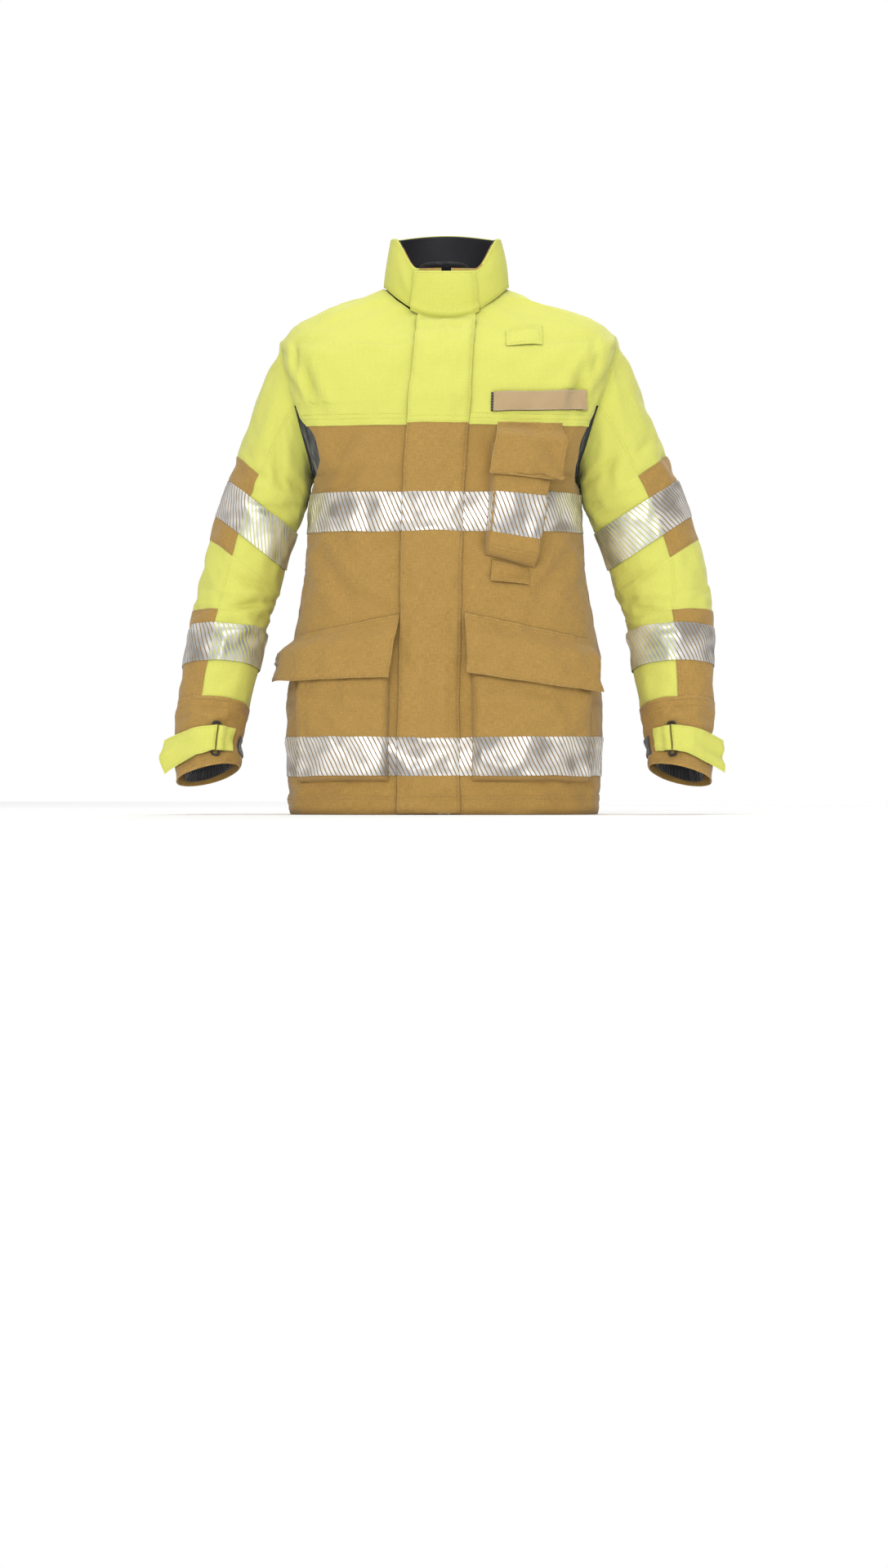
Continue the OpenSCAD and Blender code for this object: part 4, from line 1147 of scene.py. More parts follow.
CARGO_BAG = {1: ((36, 44), (183, 44), (183, 200), (36, 200)),
             -1: ((70, 44), (183, 44), (183, 200), (70, 200))}
CARGO_FLAP = {1: ((29, 183), (183, 158), (184, 227), (26, 260)),
              -1: ((69, 177), (207, 172), (192, 231), (57, 258))}
POCKET_DEPTH, RADIO_DEPTH, RADIO_FOOT = 13.0, 22.0, 0.11
RADIO_BAG = ((51, 334), (114, 318), (136, 478), (62, 478))
RADIO_FLAP = ((55, 438), (134, 428), (152, 505), (69, 505))
RADIO_TAB = ((59, 301), (106, 296), (106, 318), (60, 328))
HEM_TAPE, CHEST_TAPE, TAPE = 51.0, 365.0, 50.0


def bag_rise(t, wall):
    """How a bag's wall rises, 0 at its edge to 1 at the wall's top."""
    return np.sin(np.pi / 2 * np.clip(t / wall, 0, 1)) ** 0.8


def bag_top(depth, sag=1.0, foot=0.06):
    """Height of a pocket bag: steep gusseted sides, a full belly and a slack mouth."""
    def top(u, v):
        side = bag_rise(np.minimum(u, 1 - u), 0.075)
        low = bag_rise(v, foot)
        belly = 0.86 + 0.14 * np.sin(np.pi * np.clip(0.15 + 0.8 * v, 0, 1)) * np.sin(np.pi * u)
        wave = 0.7 * sag * np.sin(5.5 * u + 3 * v) * v + 0.8 * sag * np.sin(11 * v + 4 * u) * side
        return 2.4 + depth * side * low * belly + wave * side * low
    return top


def cargo_pocket(side, word):
    """Bellows pocket: the bag stands out and its lower edge overhangs the hem band."""
    top = bag_top(POCKET_DEPTH)
    piece, place, size = cut_patch(f"cargo_pocket_{word}_bag", khaki, CARGO_BAG[side], (3.4, 3.4),
                                   top, 1.3, side)
    line = np.linspace(0.03, 0.97, 120)
    for v in (0.0385, 0.985):
        piece.stitch(khaki_thread, place, line, v, top)
    outline(piece, khaki_thread, place, size, 1.6, top, "lr")
    attach(piece, khaki, "coat", "stretched", f"front_panel_{word}_shell")


def flap_top(stand, start, curl, wave):
    """Height of a pocket flap: sewn down along its top, then lying over the full bag."""
    def top(u, v):
        down = 1 - v
        rise = step(0.02, start, down)
        return 2.2 + (stand - 2.2) * rise + curl * down ** 3 * (0.4 + u) \
            + wave * np.sin(7.0 * u + 1.0) * down ** 1.5
    return top


FLAP_BEND = np.array([6, 22])         # where a flap would start and stop bending, below its sewn edge; bend does not use them


def flap(name, corners, side, top, body, rests_on):
    """A pocket flap, sewn along its top edge."""
    piece, place, size = cut_patch(name, khaki, corners, (3.6, 3.0), top, 1.7, side, body)
    outline(piece, khaki_thread, place, size, 2.2, top, "blr")
    line = np.linspace(0.02, 0.98, 80)
    for drop in (3, 8):
        piece.stitch(khaki_thread, place, line, 1 - drop / size[1], top)
    half = np.array([0.5])
    ends = [place(half, 2 * half * v, top(half, 2 * half * v))[0] for v in 1 - FLAP_BEND / size[1]]
    bend(piece, khaki, ("coat", body), ends, "hung", rests_on)


def pockets():
    """Cargo pockets on both sides, and the radio pocket on the wearer's left."""
    for side, word in SIDES:
        cargo_pocket(side, word)
        flap(f"cargo_flap_{word}_cloth", CARGO_FLAP[side], side, flap_top(18.6, 0.42, 3.0, 0.9),
             f"cargo_flap_{word}", f"front_panel_{word}_shell")
    top = bag_top(RADIO_DEPTH, 0.5, RADIO_FOOT)
    piece, place, size = cut_patch("radio_pocket_bag", khaki, RADIO_BAG, (2.6, 3.0), top, 1.5)
    outline(piece, khaki_thread, place, size, 1.6, top, "lr")
    for v in (0.07, 0.1):
        piece.stitch(khaki_thread, place, np.linspace(0.05, 0.95, 40), v, top)
    attach(piece, khaki, "coat", "stretched", "front_panel_left_shell")
    flap("radio_flap_cloth", RADIO_FLAP, 1, flap_top(27.6, 0.3, 0.6, 0.5), "radio_pocket_flap",
         "radio_pocket_bag")
    radio_tab()


def radio_tab():
    """Small tab at the foot of the radio pocket, turned up to open it."""
    top = lambda u, v: 2.6 + 3.2 * (1 - v) ** 2 + 0.4 * np.sin(5 * u)
    body = "radio_pocket_tab"
    piece, place, size = cut_patch("radio_tab_cloth", khaki, RADIO_TAB, (2.5, 2.0), top, 2.0, 1, body)
    outline(piece, khaki_thread, place, size, 2.0, top)
    ends = [place(np.array([0.5]), np.array([v]), np.array([2.0]))[0] for v in (0.96, 0.62)]
    bend(piece, khaki, ("coat", body), ends, "hung", "radio_pocket_bag")


def chest_trim():
    """Name strip on its hook strip, and the microphone loop."""
    corners = ((60, 518), (177, 522), (177, 546), (60, 542))
    piece, place, size = cut_patch("name_strip_hook_pad", hook, corners, (3, 2), 2.2, 1.2)
    outline(piece, grey_thread, place, size, 1.2, 2.2)
    attach(piece, hook, "coat")
    shifted = [(x + 3.0, h + 0.6) for x, h in corners]
    top = lambda u, v: 4.0 + 3.4 * step(0.86, 1.02, u) + 0.25 * np.sin(9 * u)
    piece, place, size = cut_patch("name_strip_webbing", webbing, shifted, (3, 2), top, 1.4)
    outline(piece, grey_thread, place, size, 1.3, top, "bt")
    attach(piece, webbing, "name_strip")
    corners = ((79, 604), (125, 607), (125, 640), (79, 637))
    top = lambda u, v: 2.0 + 1.0 * np.sin(np.pi * np.clip((u - 0.12) / 0.76, 0, 1)) ** 0.6
    piece, place, size = cut_patch("microphone_loop_cloth", lime, corners, (2.2, 2.2), top, 1.5)
    for inset in (1.6, 4.6):
        outline(piece, lime_thread, place, size, inset, top)
    attach(piece, lime, "coat")


# ---------------------------------------------------------------- storm flap
free_edge = curve((0, -60), (103, -59), (278, -56), (435, -52), (505, -47), (628, -37), (680, -34))
sewn_edge = curve((0, 21), (103, 20), (290, 22), (414, 26), (503, 32), (573, 36), (639, 40), (680, 41))


def storm_place(h0, h1):
    def place(u, v, d):
        h = mix(h0, h1, v)
        return front_at(mix(free_edge(h), sewn_edge(h), u), h, d)
    return place


def storm_top(low, high, extra=0.0):
    """The flap arches over the zip and is sewn down on the wearer's left."""
    def top(u, v):
        h = mix(low, high, v)
        arch = 5.2 + 4.6 * np.sin(np.pi * np.clip(u, 0, 1)) ** 0.7 - 2.2 * step(0.9, 1.0, u)
        arch = arch * (1 - 0.62 * step(652, 680, h))
        lime_part = 0.7 * step(YOKE - 4.2, YOKE - 3.8, h)
        fold = 1.4 * bump(655, 9, h) - 1.8 * bump(641, 9, h)
        return arch + lime_part + fold + extra + 0.5 * np.sin(h / 37) * np.sin(np.pi * u)
    return top


STORM_SPAN, STORM_WIDE = (1.5, 679.0), 86
STORM_BEND = (638.0, 500.0)           # heights where the flap would bend, below the collar; bend does not use them


def storm_flap():
    """Flap over the zip, lime above the yoke's seam, and its two lengths of tape."""
    h0, h1 = STORM_SPAN
    split_h = YOKE - 4
    place, top = storm_place(h0, h1), storm_top(h0, h1)
    piece = Piece("storm_flap_cloth")
    rows = heights(h0, h1, 5, (split_h,))
    piece.shell(khaki, place, spaced(STORM_WIDE, 3.2), rows, top, 1.7,
                split=(lime, lambda u, v: mix(h0, h1, v) > split_h))
    split_v = (split_h - h0) / (h1 - h0)
    low, high = np.linspace(0.003, split_v, 200), np.linspace(split_v, 0.985, 90)
    for u in (0.03, 0.955, 0.985):
        piece.stitch(khaki_thread, place, u, low, top)
        piece.stitch(lime_thread, place, u, high, top)
    line = np.linspace(0.01, 0.99, 30)
    for rise in (2.5, 8.5):
        piece.stitch(lime_thread, place, line, split_v + rise / (h1 - h0), top)
    for h in (BAND, 3.5):
        piece.stitch(khaki_thread, place, line, (h - h0) / (h1 - h0), top)
    bend(piece, khaki, ("coat", "storm_flap"), [front_at(0.0, h, 8.0) for h in STORM_BEND], "hung",
         "collar_outer", nodes=("storm_flap", "storm_flap_top"))
    tapes = Piece("storm_flap_reflective", "storm_flap_tapes")
    for h in (HEM_TAPE, CHEST_TAPE):
        place, over = storm_place(h, h + TAPE), storm_top(h, h + TAPE, 0.45)
        tapes.shell(silver, place, spaced(STORM_WIDE, 3.2), spaced(TAPE, 5), over, 0.5, roll=0.4)
        tape_seams(tapes, place, line, over, 0.03)
    attach(tapes, silver, "storm_flap")


# ---------------------------------------------------------------- reflective tape
BODY_TAPE_TOP, SLEEVE_TAPE_TOP = 1.15, 2.0


def body_tape(piece, h0):
    """A band round the body: two front lengths and the back, each stitched along both edges."""
    for side in (-1, 1):
        def place(u, v, d, side=side):
            h = mix(h0, h0 + TAPE, v)
            q = mix(column_of(angle_at(ZIP_GAP, h)), 1.0, u)
            return FORM.sample("front", row_of(h), HALF + side * HALF * q, d)
        strip(piece, place, 250, BODY_TAPE_TOP, side)

    def back(u, v, d):
        h = mix(h0, h0 + TAPE, v)
        return FORM.sample("back", row_of(h), 2 * HALF * u, d)
    strip(piece, back, 460, BODY_TAPE_TOP, -1)


def tape_seams(piece, place, line, top, inset=0.035):
    """Stitches along both edges of a length of tape."""
    for v in (inset, 1 - inset):
        piece.stitch(grey_thread, place, line, v, top, width=0.45)


def strip(piece, place, length, top, mirror, pitch=5):
    """A length of tape with a row of stitches along both edges."""
    piece.shell(silver, place, spaced(length, pitch), spaced(TAPE, 6), top, 0.6, roll=0.4,
                mirror_u=mirror)
    tape_seams(piece, place, np.linspace(0, 1, 160), top)


def bag_tape(piece, corners, side, top, h0):
    """Tape across a bag, over its sides and belly."""
    c = np.array(corners, float)
    v0, v1 = (h0 - c[0][1]) / (c[3][1] - c[0][1]), (h0 + TAPE - c[0][1]) / (c[3][1] - c[0][1])
    bag = patch_place(corners, side)
    place = lambda u, v, d: bag(mix(0.004, 0.996, u), mix(v0, v1, v), d)
    over = lambda u, v: top(mix(0.004, 0.996, u), mix(v0, v1, v)) + 0.55
    size = patch_size(corners)
    strip(piece, place, size[0], over, side, 3.4)


def tapes():
    """Bands round the hem and the chest, with their lengths across the pocket bags."""
    piece = Piece("hem_reflective", "hem_tape")
    body_tape(piece, HEM_TAPE)
    for side in (-1, 1):
        bag_tape(piece, CARGO_BAG[side], side, bag_top(POCKET_DEPTH), HEM_TAPE)
    attach(piece, silver, "coat")
    piece = Piece("chest_reflective", "chest_tape")
    body_tape(piece, CHEST_TAPE)
    bag_tape(piece, RADIO_BAG, 1, bag_top(RADIO_DEPTH, 0.5, RADIO_FOOT), CHEST_TAPE)
    attach(piece, silver, "coat")


# ---------------------------------------------------------------- collar
def collar_at(t, w, d):
    """Point of the collar: angle t (-90 at the front), w from its seam to its top."""
    t = np.radians(t)
    f, b = np.clip(-np.sin(t), 0, 1) ** 2, np.clip(np.sin(t), 0, 1) ** 2
    low = 686 - 44 * f + 8 * b
    off = np.degrees(np.arccos(np.clip(-np.sin(t), -1, 1)))
    top = 706 + 41 * step(31, 68, off) + 10 * b
    lean = 1.6 * np.sin(np.pi * w) + 0.8 * np.sin(5 * t + 4 * w) * w
    d = d + lean
    out = np.stack([np.cos(t) * 65, np.sin(t) * 78], -1)
    out /= np.linalg.norm(out, axis=-1)[..., None]
    return np.stack([mix(81, 71, w) * np.cos(t) + 3.0 + out[..., 0] * d,
                     mix(12, 8, w) + mix(65, 62, w) * np.sin(t) + out[..., 1] * d,
                     mix(low, top, w)], -1)


def collar_band(t0, t1, w0, w1):
    """Place function of a length of the collar."""
    return lambda u, v, d: collar_at(mix(t0, t1, u), mix(w0, w1, v), d)


COLLAR_LONG, COLLAR_HIGH = 430, 56


def collar():
    """Outer collar, khaki where the tab closes on it, and its lining."""
    place = collar_band(-85, 265, -0.02, 1)
    crinkle = lambda u, v: 0.5 + 0.9 * np.sin(60 * u + 9 * v) * np.sin(np.pi * v) \
        * (bump(0.13, 0.09, u) + bump(0.9, 0.08, u))
    piece = Piece("collar_outer", "collar_shell")
    at_tab = lambda u, v: ((u < 0.095) | (u > 0.927)) & (v > 0.955)
    piece.shell(lime, place, spaced(COLLAR_LONG, 3.5), spaced(COLLAR_HIGH, 2.6), crinkle, 1.6,
                split=(khaki, at_tab))
    line = np.linspace(0.003, 0.997, 160)
    for w in (0.05, 0.95, 0.90):
        piece.stitch(lime_thread, place, line, w, crinkle)
    attach(piece, lime, "coat", "stretched", "yoke_front_left_shell", "yoke_front_right_shell")
    place = collar_band(-81, 261, 0.02, 0.985)
    piece = Piece("collar_inner", "collar_lining")
    inner = lambda u, v: -2.2 + 0.4 * np.sin(40 * u) * v
    piece.shell(khaki, place, spaced(COLLAR_LONG, 4), spaced(COLLAR_HIGH, 4), inner, 1.6,
                split=(quilt, lambda u, v: np.abs(u - 0.5) < 0.36))
    attach(piece, khaki, "coat")
    collar_tab()


def collar_tab():
    """Tab over the collar's front: sewn on the wearer's left, free on the right."""
    t0, t1 = -123.0, -59.0
    place = collar_band(t0, t1, -0.06, 0.935)
    top = lambda u, v: 4.8 - 2.2 * step(0.86, 1.0, u) + 0.5 * np.sin(8 * v + 3 * u) \
        + 0.8 * (1 - u) ** 3 + 1.6 * bump(0.12, 0.12, v) + 0.8 * step(0.05, 0.0, v)
    size = (86, 58)
    piece = Piece("collar_tab_cloth")
    piece.shell(lime, place, spaced(size[0], 2.8), spaced(size[1], 2.8), top, 1.9)
    outline(piece, lime_thread, place, size, 2.0, top, "tl")
    for inset in (2.0, 8.0):
        line = np.linspace(0.02, 0.98, 40)
        piece.stitch(lime_thread, place, 1 - inset / size[0], line, top)
    ends = [collar_at(np.array(t), np.array(0.5), 3.0) for t in (t1, t1 - 9)]
    bend(piece, lime, ("coat", "collar_tab"), ends, "stretched", "collar_outer")


def neck_and_zip():
    """Hanger loop inside the neck, and the zip's tapes behind its teeth."""
    low, high = cad("hanger_loop")
    mid, half = (low + high) / 2, (high - low) / 2
    bar = 5.0
    turn = np.linspace(0, 2 * np.pi, 65)[:-1]
    pts = np.stack([mid[0] + (half[0] - bar) * sgn_pow(np.cos(turn), 0.5), np.full(64, mid[1]),
                    mid[2] + (half[2] - bar) * sgn_pow(np.sin(turn), 0.8)], -1)
    sides = np.stack([np.cos(turn), 0 * turn, np.sin(turn)], -1)
    ups = np.tile([0.0, 1.0, 0.0], (64, 1))
    piece = Piece("hanger_loop_webbing")
    swept(piece, hook, (pts, sides, ups), [(-3.4, -0.7), (3.4, -0.7), (3.4, 0.7), (-3.4, 0.7)])
    attach(piece, hook, "coat")
    low, high = cad("zip_tapes")
    piece = Piece("zip_tapes_woven")
    for x0, x1 in ((low[0], -0.4), (0.4, high[0])):
        def place(u, v, d, x0=x0, x1=x1):
            y = mix(high[1], low[1], np.clip(v, 0, 1)) - 0.3 - d
            return np.stack([mix(x0, x1, u), y, mix(low[2], high[2], v)], -1)
        piece.shell(hook, place, spaced(13, 3), spaced(500, 12), 0.5, 0.9)
        piece.stitch(grey_thread, place, 0.5, np.linspace(0, 1, 200), 0.5)
    attach(piece, hook, "coat")
    for node, mat in (("zip_teeth", zip_teeth_plastic), ("zip_slider", black), ("zip_pull", black)):
        obj = frame["nodes"][node]
        obj.data.materials.clear()
        obj.data.materials.append(mat)


def sgn_pow(v, p):
    """Power that keeps the sign, for rounded oblong outlines."""
    return np.sign(v) * np.abs(v) ** p


# ---------------------------------------------------------------- sleeves
HEAD_END, ELBOW_START, ELBOW_END, CUFF_START, CUFF_END = 2.6, 5.0, 7.0, 9.0, 11.0
UPPER_INSERT = {1: (-74, 52), -1: (-70, 66)}
LOWER_INSERT = {1: (-90, 70), -1: (-71, 89)}
UPPER_TAPE, LOWER_TAPE = (3.45, 4.45), (7.5, 8.36)
RING_COLS = np.linspace(0, 1, 89)[:-1]
CUFF_PATCH = (10.5, 9.85, -198.0, -158.0)       # where the strap is stuck down when tightened
PATCH_TOP = 3.8
TUCK, INSERT_LAP = 0.04, 0.02                   # how far the sections overlap, in stations
CUFF_SEAMS = (9.06, 9.2, 10.88, 10.8)
HEAD_WAY, ELBOW_WAY = (0.7, -0.714), (0.3, -0.954)      # how the soft sections run, out and up
STATION_LENGTH, GIRTH = 46, 400       # of a sleeve, about, in millimetres


def tube_place(side, low, high, t0=-180.0, t1=180.0):
    """Place function round a sleeve, from the station low (nearest the cuff) up to high."""
    def place(u, v, d):
        t = mix(t0, t1, u)
        return sleeve_at(side, mix(low, high, v), t, d)
    return place


def arm_rows(low, high, step=4.6):
    """Grid lines along a length of the sleeve."""
    return spaced(abs(low - high) * STATION_LENGTH, step)


def fold_line(first, last, direction):
    """Start and end of a soft bend: after every point of the first ring, before all of the last."""
    direction = direction / np.linalg.norm(direction)
    start, end = (first @ direction).max(), (last @ direction).min()
    middle = (first.mean(0) + last.mean(0)) / 2
    here = middle @ direction
    return middle + direction * (start - here), middle + direction * (end - here)


def soft_tube(name, side, low, high, bodies, direction, rests_on, rows_of_stitches, base=0.0):
    """A sleeve section between two bodies, with the line where it would bend worked out."""
    place = tube_place(side, low, high)
    piece = Piece(name)
    piece.shell(lime, place, RING_COLS, arm_rows(low, high, 4.0), base, 1.6, ring=True, mirror_u=side)
    for stations, angles in rows_of_stitches:
        st, t = np.array(stations, float), np.array(angles, float)
        k = np.linspace(0, 1, 120)
        st = np.interp(k, np.linspace(0, 1, len(st)), st)
        t = np.interp(k, np.linspace(0, 1, len(t)), t)
        for shift in (-1.6, 1.6):
            u = (t + shift + 180) / 360
            piece.stitch(lime_thread, place, u, (st - low) / (high - low), base)
    u = np.linspace(0, 1, 40)
    first, last = place(u, 0 * u + 1, 0 * u), place(u, 0 * u, 0 * u)
    ends = fold_line(first, last, np.array([side * direction[0], 0, direction[1]]))
    bend(piece, lime, bodies, ends, "stretched", rests_on)


def stiff_tube(name, side, low, high, body, mat, rests_on, top, thick=1.6, seams=(), patch=None):
    """A sleeve section that keeps its shape."""
    place = tube_place(side, low, high)
    piece = Piece(name)
    piece.shell(mat, place, RING_COLS, arm_rows(low, high), top, thick, ring=True, mirror_u=side)
    line = np.linspace(0, 1, 160)
    for st in seams:
        piece.stitch(SEAM[mat], place, line, (st - low) / (high - low), top)
    if patch:
        piece.shell(hook, tube_place(side, *patch), spaced(24, 2.4), spaced(33, 2.4), PATCH_TOP, 1.5)
    attach(piece, mat, body, "stretched", rests_on)


def insert(name, side, low, high, limits, body, rests_on):
    """Khaki insert lapped over the lime sleeve, double stitched along its edges."""
    place = tube_place(side, low, high, *limits)
    wide = (limits[1] - limits[0]) / 360 * GIRTH
    top = 1.1
    piece = Piece(name)
    piece.shell(khaki, place, spaced(wide, 4.4), arm_rows(low, high), top, 1.4, mirror_u=side)
    line = np.linspace(0, 1, 90)
    for inset in (2.2, 7.0):
        for u in (inset / wide, 1 - inset / wide):
            piece.stitch(khaki_thread, place, u, line, top)
    for v in (0.02, 0.98):
        piece.stitch(khaki_thread, place, line, v, top)
    attach(piece, khaki, body, "stretched", rests_on)


def sleeve_tape(name, side, stations, limits, body):
    """Reflective ring; the cloth under its gaps is the insert's within its limits."""
    low, high = stations[1], stations[0]
    place = tube_place(side, low, high)

    def ground(u, v):
        t = mix(-180.0, 180.0, u)
        return 1.0 - ((t > limits[0]) & (t < limits[1]))
    piece = Piece(name)
    us = np.linspace(0, 1, 181)[:-1]
    piece.shell(silver, place, us, spaced(TAPE, 5), SLEEVE_TAPE_TOP, 0.6, ring=True, roll=0.4,
                mirror_u=side, ground=ground)
    tape_seams(piece, place, np.linspace(0, 1, 200), SLEEVE_TAPE_TOP)
    attach(piece, silver, body)


def sleeves():
    """Both sleeves, from the armhole down to the cuff and its strap."""
    cuff_top = lambda u, v: 1.7 + 0.5 * np.sin(6 * np.pi * u + 5 * v)
    for side, word in SIDES:
        upper, fore = f"upper_arm_{word}", f"forearm_{word}"
        ulim, llim = UPPER_INSERT[side], LOWER_INSERT[side]
        yoke, head, sleeve, elbow, lower = (
            f"yoke_front_{word}_shell", f"sleeve_head_{word}_cloth", f"upper_sleeve_{word}_cloth",
            f"elbow_section_{word}_cloth", f"lower_sleeve_{word}_cloth")
        soft_tube(head, side, HEAD_END + TUCK, 0.0, ("coat", upper), HEAD_WAY, yoke,
                  [((0.04, 0.9, 1.8, 2.6), (-86, -80, -76, ulim[0])), ((0.04, 2.6), (-172, -168))])
        stiff_tube(sleeve, side, ELBOW_START, HEAD_END, upper, lime, head, 0.0)
        insert(f"upper_insert_{word}_cloth", side, ELBOW_START - INSERT_LAP,
               HEAD_END + INSERT_LAP, ulim, upper, sleeve)
        sleeve_tape(f"upper_tape_{word}_band", side, UPPER_TAPE, ulim, upper)
        soft_tube(elbow, side, ELBOW_END + TUCK, ELBOW_START - TUCK, (upper, fore), ELBOW_WAY,
                  sleeve, [((5, 7), (ulim[0], llim[0])), ((5, 7), (-166, -162))], 0.5)
        stiff_tube(lower, side, CUFF_START + 0.05, ELBOW_END, fore, lime, elbow, 0.0)
        insert(f"lower_insert_{word}_cloth", side, CUFF_START, ELBOW_END + INSERT_LAP, llim, fore, lower)
        sleeve_tape(f"lower_tape_{word}_band", side, LOWER_TAPE, llim, fore)
        stiff_tube(f"cuff_{word}_cloth", side, CUFF_END, CUFF_START - INSERT_LAP, fore, khaki, lower,
                   cuff_top, 1.8, CUFF_SEAMS, CUFF_PATCH)
        wristlet(side, word, fore)
        cuff_closure(side, word, fore)


def wristlet(side, word, body):
    """Knitted cuff inside the sleeve, with its ribs modelled."""
    ribs = 56
    place = tube_place(side, 10.9, 9.5)
    top = lambda u, v: -9.0 - 0.9 * (0.5 - 0.5 * np.cos(2 * np.pi * ribs * u)) - 0.8 * np.sin(np.pi * v)
    piece = Piece(f"wristlet_{word}_knit")
    piece.shell(knit, place, np.linspace(0, 1, ribs * 6 + 1)[:-1], spaced(65, 3), top, 2.4, ring=True)
    attach(piece, knit, body)


# ---------------------------------------------------------------- cuff straps
STRAP_HIGH, STRAP_LOW, RING_ANGLE, LEAVE, TAIL = 9.72, 10.5, -105.0, -48.0, 34.0
STRAP_WIDE = 36.0


def strap_place(side, t0, t1, tail, slant=0.0):
    """Along a cuff strap from the angle t0 to t1, then straight on for its free length."""
    mid = (STRAP_HIGH + STRAP_LOW) / 2
    ring = np.linspace(t0, t1, 60)
    centre = sleeve_at(side, mid, ring, 2.0)
    run = np.concatenate([[0], np.cumsum(np.linalg.norm(np.diff(centre, axis=0), axis=1))])
    total = run[-1] + tail

    def place(u, v, d):
        s = u * total
        t = np.interp(s, run, ring)
        st = mix(STRAP_LOW, STRAP_HIGH, v)
        p = sleeve_at(side, st, t, d)
        way = sleeve_at(side, st, t1, d) - sleeve_at(side, st, t1 - 3.0, d)
        way /= np.linalg.norm(way, axis=-1)[..., None]
        beyond = np.maximum(s - run[-1], 0)
        droop = np.array([0, 0, -1.0]) * (slant * s + beyond ** 2 * 0.0016)[..., None]
        return p + way * beyond[..., None] + droop
    return place, total


def cuff_closure(side, word, fore):
    """A sewn strap holds the ring; the free strap goes through it and back on hook tape."""
    lim0 = RING_ANGLE - 33
    place, length = strap_place(side, lim0, RING_ANGLE - 0.8, 0.0)
    top = lambda u, v: 4.8 + 3.8 * step(0.45, 0.8, u) - 1.6 * step(0.93, 1.0, u)
    piece = Piece(f"cuff_strap_anchor_{word}_loop")
    piece.shell(lime, place, spaced(length, 1.8), spaced(STRAP_WIDE, 2.6), top, 2.2, mirror_u=side)
    outline(piece, lime_thread, place, (length, STRAP_WIDE), 2.2, top, "btl")
    piece.shell(hook, lambda u, v, d: place(0.62 * u, v, d), spaced(length, 1.8),
                spaced(STRAP_WIDE, 2.6), 2.4, 1.0)
    attach(piece, lime, fore)
    cuff_ring(side, word)
    place, length = strap_place(side, RING_ANGLE + 0.8, LEAVE, TAIL, 0.17)
    top = lambda u, v: 7.0 + 1.8 * step(0.16, 0.05, u) - 1.4 * step(0.02, 0.0, u) + 0.6 * np.sin(8 * u)
    piece = Piece(f"cuff_strap_{word}_cloth")
    us, vs = spaced(length, 2.4), spaced(STRAP_WIDE, 2.6)
    piece.shell(lime, place, us, vs, top, 1.7, mirror_u=side)
    outline(piece, lime_thread, place, (length, STRAP_WIDE), 2.2, top)
    under = lambda u, v: top(u, v) - 2.0
    piece.shell(hook, lambda u, v, d: place(mix(0.12, 0.96, u), mix(0.04, 0.96, v), d), us, vs,
                under, 1.3)
    piece.shell(lime, lambda u, v, d: place(mix(0.12, 0.66, u), mix(0.01, 0.99, v), d), us, vs,
                lambda u, v: top(u, v) - 3.5, 1.4, mirror_u=side)
    attach(piece, lime, f"cuff_strap_{word}", "stretched", f"cuff_{word}_cloth")


def cuff_ring(side, word):
    """Moulded oblong ring with rounded bars."""
    mid = (STRAP_HIGH + STRAP_LOW) / 2
    at = lambda st, t: sleeve_at(side, np.array(st), np.array(t), np.array(4.0))
    centre = at(mid, RING_ANGLE)
    along = at(mid, RING_ANGLE + 3) - at(mid, RING_ANGLE - 3)
    along /= np.linalg.norm(along)
    upward = at(mid - 0.2, RING_ANGLE) - centre
    upward -= along * (upward @ along)
    upward /= np.linalg.norm(upward)
    out = np.cross(along, upward) * side
    half_w, half_h, corner, bar = 4.6, 21.4, 3.2, 1.55
    corners = [(half_w - corner, half_h - corner, 0), (-half_w + corner, half_h - corner, 90),
               (-half_w + corner, -half_h + corner, 180), (half_w - corner, -half_h + corner, 270)]
    pts, sides = [], []
    for x, y, start in corners:
        for a in np.radians(np.linspace(start, start + 90, 9)):
            way = along * math.cos(a) + upward * math.sin(a)
            pts.append(centre + along * x + upward * y + way * corner)
            sides.append(way)
    turn = np.linspace(0, 2 * np.pi, 17)[:-1]
    section = [(bar * math.cos(a), bar * 1.1 * math.sin(a)) for a in turn]
    piece = Piece(f"cuff_ring_{word}_moulded")
    swept(piece, black, (np.array(pts), np.array(sides), np.tile(out, (len(pts), 1))), section)
    attach(piece, black, f"cuff_ring_{word}")


# ---------------------------------------------------------------- camera, light and floor
# metres: the height that the view takes in at the coat's front, and where it is seen from
VIEW_HEIGHT, VIEW_DISTANCE, COAT_FRONT, EYE = 2.016, 9.0, 0.10, 0.039
SENSOR = 36
FLOOR, AMBIENT = 6.5, 0.36            # the floor's radius in metres; the world's strength as a light


def look_at(obj, target):
    way = mathutils.Vector(target) - obj.location
    obj.rotation_euler = way.to_track_quat("-Z", "Y").to_euler()


def camera():
    """Level view from the front, from far enough away to look nearly flat."""
    data = bpy.data.cameras.new("camera")
    data.lens = SENSOR * (VIEW_DISTANCE - COAT_FRONT) / VIEW_HEIGHT
    data.sensor_width = SENSOR
    data.clip_end = 60
    cam = bpy.data.objects.new("camera", data)
    cam.location = (0, -VIEW_DISTANCE, EYE)
    look_at(cam, (0, 0, EYE))
    bpy.context.scene.collection.objects.link(cam)
    bpy.context.scene.camera = cam


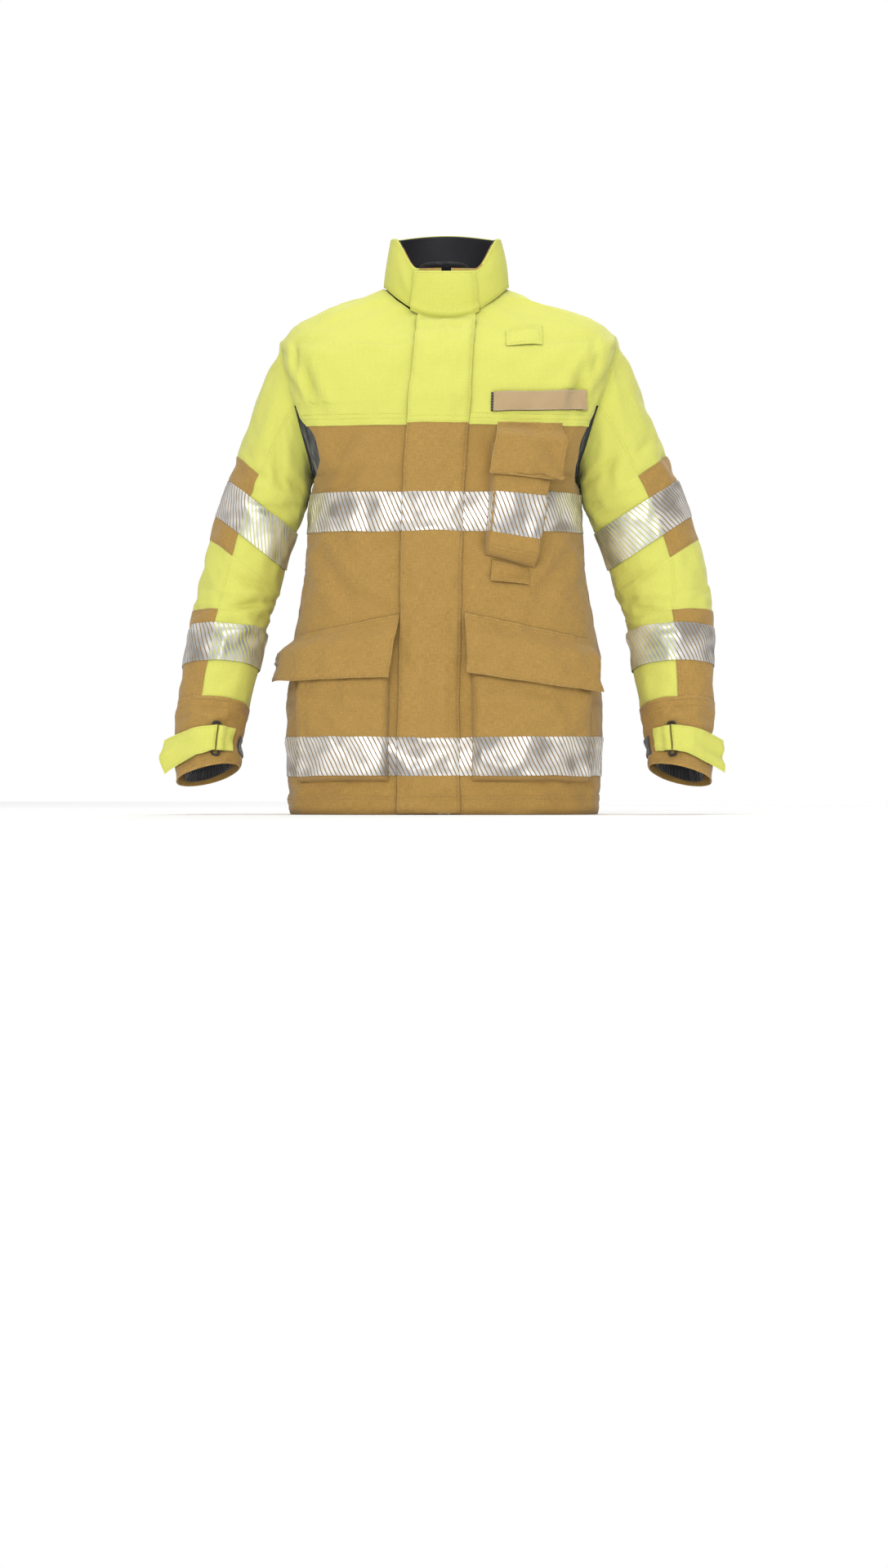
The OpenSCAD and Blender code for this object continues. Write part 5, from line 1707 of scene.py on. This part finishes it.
def area_light(name, place, target, size, power):
    data = bpy.data.lights.new(name, "AREA")
    data.shape = "RECTANGLE"
    data.size, data.size_y = size
    data.energy = power
    lamp = bpy.data.objects.new(name, data)
    lamp.location = place
    look_at(lamp, target)
    bpy.context.scene.collection.objects.link(lamp)


def floor():
    """Round pale floor under the coat."""
    turn = np.linspace(0, 2 * np.pi, 97)[:-1]
    rim = [(FLOOR * math.cos(a), FLOOR * math.sin(a), -0.0005) for a in turn]
    mesh = bpy.data.meshes.new("floor")
    mesh.from_pydata(rim, [], [tuple(range(len(rim)))])
    obj = bpy.data.objects.new("floor", mesh)
    s = Shade("studio_paper", Roughness=0.95, Specular_IOR_Level=0.1)
    s.done(s.mix(s.noise(s.place(), 0.002), srgb(248, 248, 248), srgb(254, 254, 254)))
    mesh.materials.append(s.mat)
    bpy.context.scene.collection.objects.link(obj)


def white_world():
    """White all round as a backdrop, and dimmer as a light, so that the lamps shape the folds."""
    world = bpy.data.worlds.new("world")
    world.use_nodes = True
    tree = world.node_tree
    background = tree.nodes["Background"]
    background.inputs["Color"].default_value = (1, 1, 1, 1)
    seen = tree.nodes.new("ShaderNodeLightPath").outputs["Is Camera Ray"]
    level = tree.nodes.new("ShaderNodeMapRange")
    level.inputs["To Min"].default_value = AMBIENT
    level.inputs["To Max"].default_value = 1.0
    tree.links.new(seen, level.inputs["Value"])
    tree.links.new(level.outputs[0], background.inputs["Strength"])
    bpy.context.scene.world = world


def studio():
    """White surroundings, broad soft lights in front, and one overhead."""
    floor()
    white_world()
    chest = (0, 0, 0.4)
    area_light("front_key", (-1.6, -9.5, 4.6), chest, (4.0, 3.0), 412)
    area_light("front_fill", (2.6, -10.5, 2.0), chest, (3.4, 3.4), 190)
    area_light("top", (0, 0.2, 4.6), chest, (4.0, 4.0), 120)
    area_light("back", (1.5, 7.5, 4.5), chest, (4.0, 3.0), 210)
    bpy.context.scene.view_settings.view_transform = "Standard"


body_panels()
for side, word in SIDES:
    gusset(side, word)
linings()
collar()
neck_and_zip()
storm_flap()
pockets()
chest_trim()
tapes()
sleeves()
camera()
studio()
